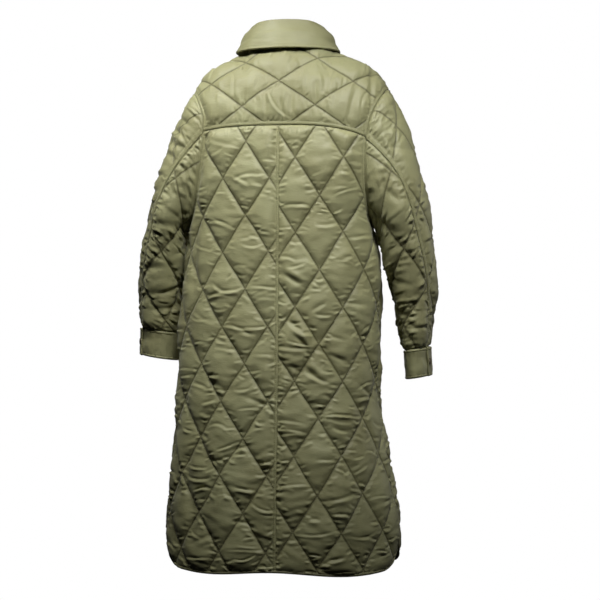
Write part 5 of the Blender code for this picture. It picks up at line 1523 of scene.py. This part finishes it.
def hemTape(side, face):
    # Tape folded over the cloth's edge: along the hem and round the corner.
    line = specs[joined(face, side)]["lines"]["hem"][0]
    return stripOn(joined("hemTape", face, side), bodyForm(face), outwardOf(face), line, body["bindWide"],
                   (tape["row"],), tape["lift"], bindCloth, sign[side])


def makeBand():
    # Plain band down the front opening, with two rows of sewing along each edge.
    return stripOn("frontBand", bodyForm("front"), 1.0, bandLine, bandWide, bothRows(bandWide), 0.0, plainCloth)


collar = {
    # half width, depth back and front, height at the back, side and front
    "standTop": (0.0779, 0.0503, 0.0665, 0.0632, 0.0497, -0.0073),
    "fallTop": (0.0782, 0.0506, 0.0668, 0.0635, 0.0500, -0.0070),
    "fallMiddle": (0.0940, 0.0660, 0.0900, 0.0350, 0.0270, -0.0200),
    "fallLow": (0.1085, 0.0780, 0.1070, 0.0030, 0.0030, -0.0540),
    "middleShare": 0.45,
    "standTurn": 174.0,
    "fallTurn": 168.0,
    "standHigh": 0.050,
    "roll": 0.0022,          # the turned top stands this much above the stand
    "row": 0.0062,           # row of sewing, from the edge
    "lip": 0.0016,           # the edge's rounding
    "full": 0.0050,          # the leaf's fullness at the sides
    "arcLong": 0.30,         # half its length, for the folds
    "creases": [(0.030, 0.026, 0.012, 0.0040, -0.0016, 62), (0.034, 0.031, 0.012, 0.0045, 0.0014, 62),
                (-0.050, 0.030, 0.018, 0.008, -0.0008, 30), (0.000, 0.018, 0.006, 0.030, -0.0008, 0)],
}


def loopPoint(loop, turn):
    # Collar loop in plan an ellipse, its height eased from the back to the side and the front.
    half, back, front, zBack, zSide, zFront = loop
    c = np.cos(np.radians(turn))
    x = half * np.sin(np.radians(turn)) + body["neckShift"]
    y = np.where(c >= 0, back, front) * c
    share = np.where(c >= 0, 1 - (1 - c * c) ** 2, c * c)
    z = zSide + (np.where(c >= 0, zBack, zFront) - zSide) * share
    return np.stack([x, y, z], axis=-1)


def awayFromNeck(grid):
    # Unit normals of a grid of points, on the side away from the neck.
    normal = unit(np.cross(np.gradient(grid, axis=0), np.gradient(grid, axis=1)))
    out = grid - np.array([body["neckShift"], 0.0, 0.02])
    return normal * np.where((normal * out).sum(-1) < 0, -1.0, 1.0)[..., None]


def fallPoint(turn, v):
    # Leaf of the collar, from the turned top (v = 0) to its edge (v = 1); above 0 it runs straight on.
    inside = np.clip(v, 0, 1)
    loops = np.array([collar["fallTop"], collar["fallMiddle"], collar["fallLow"]])
    shares = np.array([0.0, collar["middleShare"], 1.0])
    rows = [smoothCurve(inside, shares, loops[:, k]) for k in range(6)]
    return loopPoint(rows, turn)


def makeFall():
    # The turned leaf: its loops raised by its thickness, fullness, small waves, creases and a sewn edge.
    count = 151
    v = np.concatenate([np.linspace(0, 0.9, 30), np.linspace(0.915, 1, 9)])
    turn = np.sin(np.linspace(-1, 1, count) * math.pi / 2 * 0.985)
    turn = collar["fallTurn"] * turn / math.sin(math.pi / 2 * 0.985)
    turnGrid, vGrid = np.meshgrid(turn, v, indexing="ij")
    base = fallPoint(turnGrid, vGrid)
    normal = awayFromNeck(base)
    down = np.concatenate([np.zeros((count, 1)),
                           np.cumsum(np.linalg.norm(np.diff(base, axis=1), axis=2), axis=1)], axis=1)
    across = wayAlong(base[:, -1])
    toEdge = np.minimum(down[:, -1:] - down, np.minimum(across, across[-1] - across)[:, None])
    puff = 0.0007 * np.sin(math.pi * np.clip(toEdge / collar["row"], 0, 1))
    sewn = -0.0006 * np.exp(-((toEdge - collar["row"]) / 0.0009) ** 2)
    arc = turnGrid / 180 * collar["arcLong"]
    wave = 0.0008 * noise2(arc, down, 0.020, 0.014, 55) + 0.0003 * noise2(arc, down, 0.006, 0.005, 56)
    rolled = collar["roll"] * ease(1 - down / 0.010)
    crease = foldRise(arc, down, collar["creases"]) * ease(toEdge / 0.010)
    lip = np.sqrt(np.clip(1 - np.clip(1 - toEdge / collar["lip"], 0, 1) ** 2, 0, 1))
    sides = np.sin(np.radians(np.abs(turnGrid))) ** 4
    full = collar["full"] * np.sin(math.pi * np.clip(vGrid / 0.62, 0, 1)) ** 1.2 * sides
    thick = trim["thick"] * (0.35 + 0.65 * lip)
    rise = full + thick + puff + sewn + wave * ease(toEdge / 0.008) + rolled * 0.3 + crease
    outer = base + normal * rise[..., None]
    arch = np.linspace(0, math.pi, 9)[1:-1]
    centre = (outer[:, 0] + base[:, 0]) / 2
    half = (outer[:, 0] - base[:, 0]) / 2
    up = np.array([0.0, 0.0, collar["roll"]])
    cap = centre[:, None] - half[:, None] * np.cos(arch)[None, :, None] + up * np.sin(arch)[None, :, None]
    points = np.concatenate([cap, outer, base[:, ::-1]], axis=1)
    return carried("collarLeaf", points, plainCloth), (base, normal, toEdge)


def makeStand():
    # The stand: straight from just inside the neck edge up to its top loop, as thick as the cloth.
    turn = np.linspace(-collar["standTurn"], collar["standTurn"], 121)
    left, right = (neckPoint(np.abs(turn), side) for side in ("left", "right"))
    foot = np.where((turn >= 0)[:, None], left, right * np.array([-1.0, 1.0, 1.0]))
    inward = np.array([body["neckShift"], 0.0, 0.0]) - foot * np.array([1.0, 1.0, 0.0])
    foot = foot + unit(inward) * 0.0006 - np.array([0.0, 0.0, 0.0015])
    top = loopPoint(collar["standTop"], turn)
    v = np.linspace(0, 1, 15)[None, :, None]
    base = foot[:, None] * (1 - v) + top[:, None] * v
    normal = awayFromNeck(base)
    wave = 0.0005 * noise2(turn[:, None] / 180 * 0.27 + 0 * v[..., 0], 0.04 * v[..., 0] + 0 * turn[:, None],
                           0.02, 0.015, 61)
    inner = base - normal * (trim["thick"] + wave)[..., None]
    return carried("collarStand", np.concatenate([base, inner[:, ::-1]], axis=1), plainCloth)


studs = {
    "radius": 0.0075,
    "high": 0.0022,
    "first": 0.045,
    "every": 0.135,
    "count": 6,
    "off": 0.0050,           # its foot off the front panels
    "cuffTurn": 370.0,       # degrees before the cuff's end
    # share of the radius, share of the height
    "profile": np.array([(0.0, 0.0), (0.86, 0.0), (0.97, 0.06), (1.0, 0.20), (0.985, 0.38), (0.93, 0.56), (0.86, 0.66),
                         (0.80, 0.70), (0.76, 0.66), (0.70, 0.68), (0.55, 0.86), (0.36, 0.96), (0.0, 1.0)]),
}


def makeStud(name, place, normal):
    # Domed press stud: a profile turned about its axis.
    turn = np.linspace(0, 2 * math.pi, 33)[:-1]
    across = unit(np.cross(normal, [0.0, 0.0, 1.0]))
    up = np.cross(normal, across)
    ring = np.cos(turn)[:, None] * across + np.sin(turn)[:, None] * up
    r, h = studs["profile"][1:-1].T
    shell = place + ring[None] * (r * studs["radius"])[:, None, None] + normal * (h * studs["high"])[:, None, None]
    points = np.concatenate([shell.reshape(-1, 3), [place], [place + normal * studs["high"]]])
    rows, n = len(r), len(turn)
    grid = np.arange(rows * n).reshape(rows, n)
    after = np.roll(grid, -1, axis=1)
    quads = np.stack([grid[:-1], after[:-1], after[1:], grid[1:]], axis=-1).reshape(-1, 4).tolist()
    quads += [[rows * n, b, a] for a, b in zip(grid[0].tolist(), after[0].tolist())]
    quads += [[rows * n + 1, a, b] for a, b in zip(grid[-1].tolist(), after[-1].tolist())]
    return meshPiece(name, points, quads, None, None, studMetal)


bindCloth = nylon("bindingNylon", cloth["binding"])
studMetal = newMaterial("agedBrass", Base_Color=(0.20, 0.17, 0.11, 1), Metallic=0.9, Roughness=0.38)[0]

for side in ("left", "right"):
    pieces[joined("cuff", side)] = makeCuff(side)
    pieces[joined("placket", side)] = makePlacket(side)
    for face in ("back", "front"):
        pieces[joined("tape", face, side)] = hemTape(side, face)
pieces["band"] = makeBand()
pieces["leaf"], leafSurface = makeFall()
pieces["stand"] = makeStand()
for k in range(studs["count"]):
    name = "stud%d" % (k + 1)
    s, t = np.array([1e-5]), np.array([bandTop - studs["first"] - k * studs["every"]])
    normal = normalOf(bodyForm("front"), s, t, 1.0)[0]
    pieces[name] = makeStud(name, bodyForm("front")(s, t)[0] + normal * studs["off"], normal)
for side in ("left", "right"):
    name = joined("studCuff", side)
    angle = np.array([cuffStart(side) - cuff["round"] + studs["cuffTurn"]])
    t = np.array([sleeve["tCuff"][side] + cuff["stud"]])
    normal = ringNormal(angle, t, side)[0]
    lift = cuff["off"] + 2 * trim["thick"] + 2 * gap + 0.0010
    pieces[name] = makeStud(name, ringForm(angle, t, side)[0] + normal * lift, normal)
report("strips, cuffs, collar and studs")

thread = {
    "pitch": 0.0043,         # from one stitch to the next
    "long": 0.0030,
    "half": 0.00032,         # half its thickness
    "sunk": 0.00010,         # its ends lie in the cloth, its middle stands off it
    "proud": 0.00016,
    "bare": 0.004,           # bare end of a row on a panel, and on a strip
    "bareStrip": 0.003,
    # the thread is darker than the cloth: partly its own tone, partly painted shade of the sunk stitch lines
    "tones": ((0.150, 0.146, 0.066), (0.230, 0.226, 0.110)),
}
threadCloth, tree, shader = newMaterial("sewingThread", Roughness=0.62)
place = addNode(tree, "TexCoord").outputs["Object"]
tone = addNode(tree, "TexNoise", Scale=900.0, Detail=1.0, Vector=place)
tree.links.new(twoTones(tree, tone.outputs["Fac"], *thread["tones"]), shader.inputs["Base Color"])


def insideOf(places, outline):
    # A place is inside where a line going out to the right crosses the outline an odd number of times.
    corners, odd = outline[::3], np.zeros(len(places), bool)
    for (x0, y0), (x1, y1) in zip(corners, np.roll(corners, -1, axis=0)):
        crossing = (places[:, 1] < y0) != (places[:, 1] < y1)
        at = x0 + (places[:, 1] - y0) * (x1 - x0) / (y1 - y0 if y1 != y0 else 1.0)
        odd ^= crossing & (places[:, 0] < at)
    return odd


def sewOn(name, piece, places, ways, outward):
    # Small spindles of thread: both ends of each are dropped on to the piece from outside.
    tree = BVHTree.FromObject(piece, bpy.context.evaluated_depsgraph_get())
    ends = []
    for turn in (-0.5, 0.5):
        start = places + ways * thread["long"] * turn + outward * 0.02
        hits = [tree.ray_cast(Vector(a), Vector(b), 0.045)[0] for a, b in zip(start, -outward)]
        ends.append(np.array([tuple(h) if h is not None else (np.nan,) * 3 for h in hits]))
    a, b = ends
    size = np.linalg.norm(b - a, axis=1)
    keep = np.isfinite(size) & (size < 1.6 * thread["long"]) & (size > 0.5 * thread["long"])
    a, b, n = a[keep], b[keep], outward[keep]
    way = (b - a) / size[keep][:, None]
    aside = unit(np.cross(way, n))
    up = np.cross(aside, way)
    rings = [a - up * thread["sunk"]]
    for share in (0.25, 0.75):
        centre = a + (b - a) * share + up * thread["proud"]
        rings += [centre + thread["half"] * d for d in (aside, up, -aside, -up)]
    rings.append(b - up * thread["sunk"])
    points = np.stack(rings, axis=1)
    first = np.arange(1, 5)
    after = np.roll(first, -1)
    faces = [[0, int(y), int(x)] for x, y in zip(first, after)]
    faces += [[int(x), int(y), int(y) + 4, int(x) + 4] for x, y in zip(first, after)]
    faces += [[9, int(x) + 4, int(y) + 4] for x, y in zip(first, after)]
    v = points[0]
    volume = sum(float(np.dot(v[f[0]] - v[0], np.cross(v[f[1]] - v[0], v[f[-1]] - v[0]))) for f in faces)
    if volume < 0:
        faces = [f[::-1] for f in faces]
    everyFace = [[i + 10 * k for i in f] for k in range(len(points)) for f in faces]
    return meshPiece(name, points, everyFace, None, None, threadCloth)


def quiltRows(spec):
    # Places at even steps along the lines where p or q is a whole number, found by stepping
    # towards them, and the neighbouring places that give their directions.
    lattice = spec["lattice"]
    wide, high = lattice["wide"], lattice["high"]
    p, q = latticeOf(spec["outline"][:, 0], spec["outline"][:, 1], lattice)
    step = thread["pitch"] / (0.5 * math.hypot(wide, high))
    found, along = [], []
    for a, b, turned in ((p, q, 1), (q, p, -1)):
        whole, free = np.meshgrid(np.arange(math.floor(a.min()), math.ceil(a.max()) + 1),
                                  np.arange(b.min(), b.max(), step))
        found.append(np.stack([whole.ravel(), free.ravel()])[::turned])
        along.append(np.tile(np.array([[0.0], [step]])[::turned], whole.size))
    wanted, along = np.concatenate(found, axis=1), np.concatenate(along, axis=1)
    results = []
    for shift in (-0.25, 0.25):
        aim = wanted + along * shift
        s = lattice["s"] + wide * (aim[0] + aim[1]) / 2
        t = lattice["t"] + high * (aim[0] - aim[1]) / 2
        for _ in range(14):
            pNow, qNow = latticeOf(s, t, lattice)
            s = s + 0.7 * wide * ((aim[0] - pNow) + (aim[1] - qNow)) / 2
            t = t + 0.7 * high * ((aim[0] - pNow) - (aim[1] - qNow)) / 2
        pNow, qNow = latticeOf(s, t, lattice)
        results.append((s, t, np.hypot(aim[0] - pNow, aim[1] - qNow) < 0.004))
    (s0, t0, good0), (s1, t1, good1) = results
    middle = np.stack([(s0 + s1) / 2, (t0 + t1) / 2], axis=1)
    keep = good0 & good1 & insideOf(middle, spec["outline"])
    for line, kind in spec["lines"].values():
        keep &= lineDistance(middle[:, 0], middle[:, 1], line)[0] > seamKinds[kind]["stitches"]
    return middle[keep], np.stack([s1 - s0, t1 - t0], axis=1)[keep]


def seamRows(spec):
    # Rows of sewing beside the seams, at set distances inside the outline.
    places, ways = [], []
    for line, kind in spec["lines"].values():
        length = lengthOf(line)
        for away in seamKinds[kind]["rows"]:
            share = np.arange(thread["bare"], length - thread["bare"], thread["pitch"]) / length
            at = readCurve(line, share)
            way = unit(readCurve(line, np.clip(share + 0.002, 0, 1)) - readCurve(line, np.clip(share - 0.002, 0, 1)))
            aside = np.stack([-way[:, 1], way[:, 0]], axis=1)
            if insideOf(at + 0.004 * aside, spec["outline"]).mean() < 0.5:
                aside = -aside
            row = at + away * aside
            keep = insideOf(row, spec["outline"])
            places.append(row[keep])
            ways.append(way[keep] * 0.001)
    return (np.concatenate(places), np.concatenate(ways)) if places else (np.zeros((0, 2)), np.zeros((0, 2)))


def sewPanel(key):
    # Stitches of a quilted panel: its quilting lines, then the rows beside its seams.
    spec = specs[key]
    form, outward = spec["surface"]
    middle, way = (np.concatenate(both) for both in zip(quiltRows(spec), seamRows(spec)))
    s, t = middle[:, 0], middle[:, 1]
    start = form(s, t)
    ahead = unit(form(s + way[:, 0], t + way[:, 1]) - start)
    return sewOn(joined("stitches", key), pieces[key], start, ahead, normalOf(form, s, t, outward))


def alongPath(points, normals):
    # Even steps along a line of points in space: places, directions and outward directions.
    length = wayAlong(points)
    at = np.arange(thread["bareStrip"], length[-1] - thread["bareStrip"], thread["pitch"])

    def read(values, where):
        # The values between the line's points, by length.
        return np.stack([np.interp(where, length, values[:, k]) for k in range(3)], axis=1)

    return read(points, at), unit(read(points, at + 0.001) - read(points, at - 0.001)), unit(read(normals, at))


def sewStrip(key, rows):
    # Stitches of a strip, one row after another.
    parts = [alongPath(points, normals) for points, normals in rows]
    return sewOn(joined("stitches", key), pieces[key], *(np.concatenate(k) for k in zip(*parts)))


def stripRow(form, outward, line, away, lean):
    # A row at a set distance to the left of a strip's line, or to the right where the lean is negative.
    path = readCurve(line, np.linspace(0, 1, 400))
    way = unit(np.gradient(path, axis=0))
    s, t = path[:, 0] - way[:, 1] * lean * away, path[:, 1] + way[:, 0] * lean * away
    return form(s, t), normalOf(form, s, t, outward)


def cuffRow(side, away):
    # A row round a cuff, at a set distance from its lower edge.
    start = cuffStart(side)
    angle = np.linspace(start, start - cuff["round"], 300)
    turn = np.where(angle >= -180, angle, angle + 360)
    t = sleeve["tCuff"][side] + gap + away + 0 * angle
    return ringForm(turn, t, side), ringNormal(turn, t, side)


def leafRows():
    # The row along the leaf's lower edge: in each column the point nearest to the row's distance.
    base, normal, toEdge = leafSurface
    row = np.arange(4, base.shape[0] - 4)
    column = np.argmin(np.abs(toEdge - collar["row"])[row], axis=1)
    return [(base[row, column], normal[row, column])]


sewn = {}
for key in specs:
    sewn[key] = sewPanel(key)
    report("%s, %d stitches" % (sewn[key].name, len(sewn[key].data.vertices) // 10))
for side in ("left", "right"):
    key = joined("cuff", side)
    sewn[key] = sewStrip(key, [cuffRow(side, away) for away in bothRows(sleeve["cuffHigh"] - gap)])
    for face in ("back", "front"):
        key, line = joined("tape", face, side), specs[joined(face, side)]["lines"]["hem"][0]
        sewn[key] = sewStrip(key, [stripRow(bodyForm(face), outwardOf(face), line, tape["row"], sign[side])])
sewn["band"] = sewStrip("band", [stripRow(bodyForm("front"), 1.0, bandLine, away, 1.0)
                                 for away in bothRows(bandWide)])
sewn["leaf"] = sewStrip("leaf", leafRows())
report("stitches on the strips")

# what each piece stands for: the nodes that it replaces and the name of its slot
standsFor = {
    "backLeft": ("back_left", "quilted_cloth"), "backRight": ("back_right", "quilted_cloth"),
    "frontLeft": ("front_left", "quilted_cloth"), "frontRight": ("front_right", "quilted_cloth"),
    "backYoke": ("back_yoke", "quilted_cloth"),
    "sleeveUpperLeft": ("sleeve_upper_left", "quilted_cloth"),
    "sleeveUpperRight": ("sleeve_upper_right", "quilted_cloth"),
    "sleeveUnderLeft": ("sleeve_under_left", "quilted_cloth"),
    "sleeveUnderRight": ("sleeve_under_right", "quilted_cloth"),
    "cuffLeft": ("cuff_left", "plain_cloth"), "cuffRight": ("cuff_right", "plain_cloth"),
    "placketLeft": ("placket_left", "plain_cloth"), "placketRight": ("placket_right", "plain_cloth"),
    "tapeBackLeft": ("bind_back_left", "binding"), "tapeBackRight": ("bind_back_right", "binding"),
    "tapeFrontLeft": ("bind_front_left", "binding"), "tapeFrontRight": ("bind_front_right", "binding"),
    "band": ("front_band", "plain_cloth"), "leaf": ("collar_fall", "plain_cloth"),
    "stand": ("collar_stand", "plain_cloth"),
    "studCuffLeft": ("stud_cuff_left", "stud"), "studCuffRight": ("stud_cuff_right", "stud"),
}
standsFor.update({"stud%d" % (k + 1): ("stud_%d" % (k + 1), "stud") for k in range(studs["count"])})
for key, (node, slot) in standsFor.items():
    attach(pieces[key], "root")
    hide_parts(node)
    if key in sewn:
        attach(sewn[key], "root")


def flatOf(key):
    # Width, length and area of the flat cut of a quilted panel, from its outline.
    outline = specs[key]["outline"]
    x, y = outline[:, 0], outline[:, 1]
    area = 0.5 * abs(float(np.sum(x * np.roll(y, -1) - y * np.roll(x, -1))))
    width, length = (float(v) for v in np.ptp(outline, axis=0))
    return width, length, area


for key in specs:
    width, length, area = flatOf(key)
    report("%s cut %.3f by %.3f m, %.4f m2" % (key, width, length, area))
for side in ("left", "right"):
    key, t = joined("cuff", side), sleeve["tCuff"][side] + 0.03
    girth = lengthOf(ringForm(np.linspace(0, 360, 200), t + np.zeros(200), side)) * cuff["round"] / 360
    for face in ("back", "front"):
        key, panel = joined("tape", face, side), joined(face, side)
        length = lengthOf(specs[panel]["lines"]["hem"][0])
        report("%s %.3f m long" % (key, length))
    report("cuff %s %.3f m round" % (side, girth))
lengthOf(bandLine)
base = leafSurface[0]
leafLong, leafWide = lengthOf(base[:, base.shape[1] // 2]), lengthOf(base[base.shape[0] // 2])
standTurns = np.linspace(-collar["standTurn"], collar["standTurn"], 200)
standLong = lengthOf(loopPoint(collar["standTop"], standTurns))
report("band %.3f m, leaf %.3f by %.3f m, stand %.3f m" % (lengthOf(bandLine), leafWide, leafLong, standLong))

# floor, lights and camera

studio = {
    "floor": -2.35,
    "floorLight": 3.2,
    "lens": 97.14,
    "distance": 3.4,
    "turn": 9.0,             # degrees from straight behind, towards the wearer's right
    "height": -0.5145,
    "aside": 13 * 0.0021,
    "dim": 0.006,            # the surroundings' light on the coat
    # place, aim, size, power, spread in degrees, height of a square one
    "lights": {
        "topLight": ((-0.50, 1.10, 0.98), (-0.07, 0.10, -0.31), 1.0, 3.08, 43, 0.35),
        "shoulderLight": ((0.60, 0.60, 0.95), (0.20, 0.0, -0.08), 0.4, 1.60, 46, None),
        "fillLight": ((-2.6, 2.2, 0.5), (0, 0, -0.3), 1.4, 0.58, 180.0, None),
        "edgeLight": ((1.7, -0.7, -0.3), (0, 0, -0.7), 1.0, 0.2, 100, None),
        "otherEdgeLight": ((-1.7, -0.7, -0.3), (0, 0, -0.7), 1.0, 1.0, 100, None),
        "frontLight": ((0.5, -2.3, 0.30), (0, -0.1, -0.50), 1.0, 5.0, 60, None),
    },
}


def studioFloor():
    # A round pale floor, rings of points about its middle.
    turn = np.linspace(0, 2 * math.pi, 97)
    radius = np.array([0.02, 1.5, 3.0, 5.0])
    x, y = radius[:, None] * np.cos(turn), radius[:, None] * np.sin(turn)
    points = np.stack([x, y, 0 * x + studio["floor"]], axis=-1)
    made = newMaterial("paleFloor", Base_Color=(0.86, 0.86, 0.85, 1), Roughness=0.9)[0]
    floor = meshPiece("studioFloor", points, gridQuads(len(radius), len(turn)), material=made)
    # the floor has its own wide light and throws none back at the coat
    floor.visible_diffuse = floor.visible_glossy = False
    light = bpy.data.lights.new("floorLight", "SUN")
    light.energy, light.angle = studio["floorLight"], math.radians(60)
    sun = bpy.data.objects.new("floorLight", light)
    sun.location = (0, 0, 3)
    bpy.context.scene.collection.objects.link(sun)
    only = bpy.data.collections.new("floorOnly")
    only.objects.link(floor)
    sun.light_linking.receiver_collection = only


def areaLight(name, place, aim, size, power, spread, tall):
    # A round or square light at a place, turned to its aim.
    light = bpy.data.lights.new(name, "AREA")
    light.spread = math.radians(spread)
    light.shape, light.size, light.energy = "RECTANGLE" if tall else "DISK", size, power
    if tall:
        light.size_y = tall
    made = bpy.data.objects.new(name, light)
    made.location = place
    made.rotation_euler = (Vector(aim) - Vector(place)).to_track_quat("-Z", "Y").to_euler()
    bpy.context.scene.collection.objects.link(made)


def addCamera():
    # Level camera, turned about the coat by the studio's angle and set a little to the right.
    turn = math.radians(studio["turn"])
    right = Vector((-math.cos(turn), -math.sin(turn), 0))
    ahead = Vector((math.sin(turn), -math.cos(turn), 0))
    camera = bpy.data.cameras.new("camera")
    camera.lens, camera.sensor_width = studio["lens"], 36.0
    camera.clip_end = 60
    made = bpy.data.objects.new("camera", camera)
    made.location = -ahead * studio["distance"] + right * studio["aside"] + Vector((0, 0, studio["height"]))
    made.rotation_euler = ahead.to_track_quat("-Z", "Y").to_euler()
    bpy.context.scene.collection.objects.link(made)
    bpy.context.scene.camera = made


studioFloor()
for name, values in studio["lights"].items():
    areaLight(name, *values)
world = bpy.data.worlds.new("studioWorld")
world.use_nodes = True
# white where nothing stands, but the coat is lit almost only by the lights
tree = world.node_tree
dim = tree.nodes["Background"]
dim.inputs["Color"].default_value = (1, 1, 1, 1)
dim.inputs["Strength"].default_value = studio["dim"]
bright = addNode(tree, "Background", Color=(1, 1, 1, 1), Strength=1.0)
mix = addNode(tree, "MixShader")
for k, socket in enumerate((addNode(tree, "LightPath").outputs["Is Camera Ray"], dim.outputs[0], bright.outputs[0])):
    tree.links.new(socket, mix.inputs[k])
tree.links.new(mix.outputs[0], tree.nodes["World Output"].inputs["Surface"])
bpy.context.scene.world = world
bpy.context.scene.view_settings.view_transform = "Standard"
addCamera()

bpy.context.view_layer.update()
report("done")
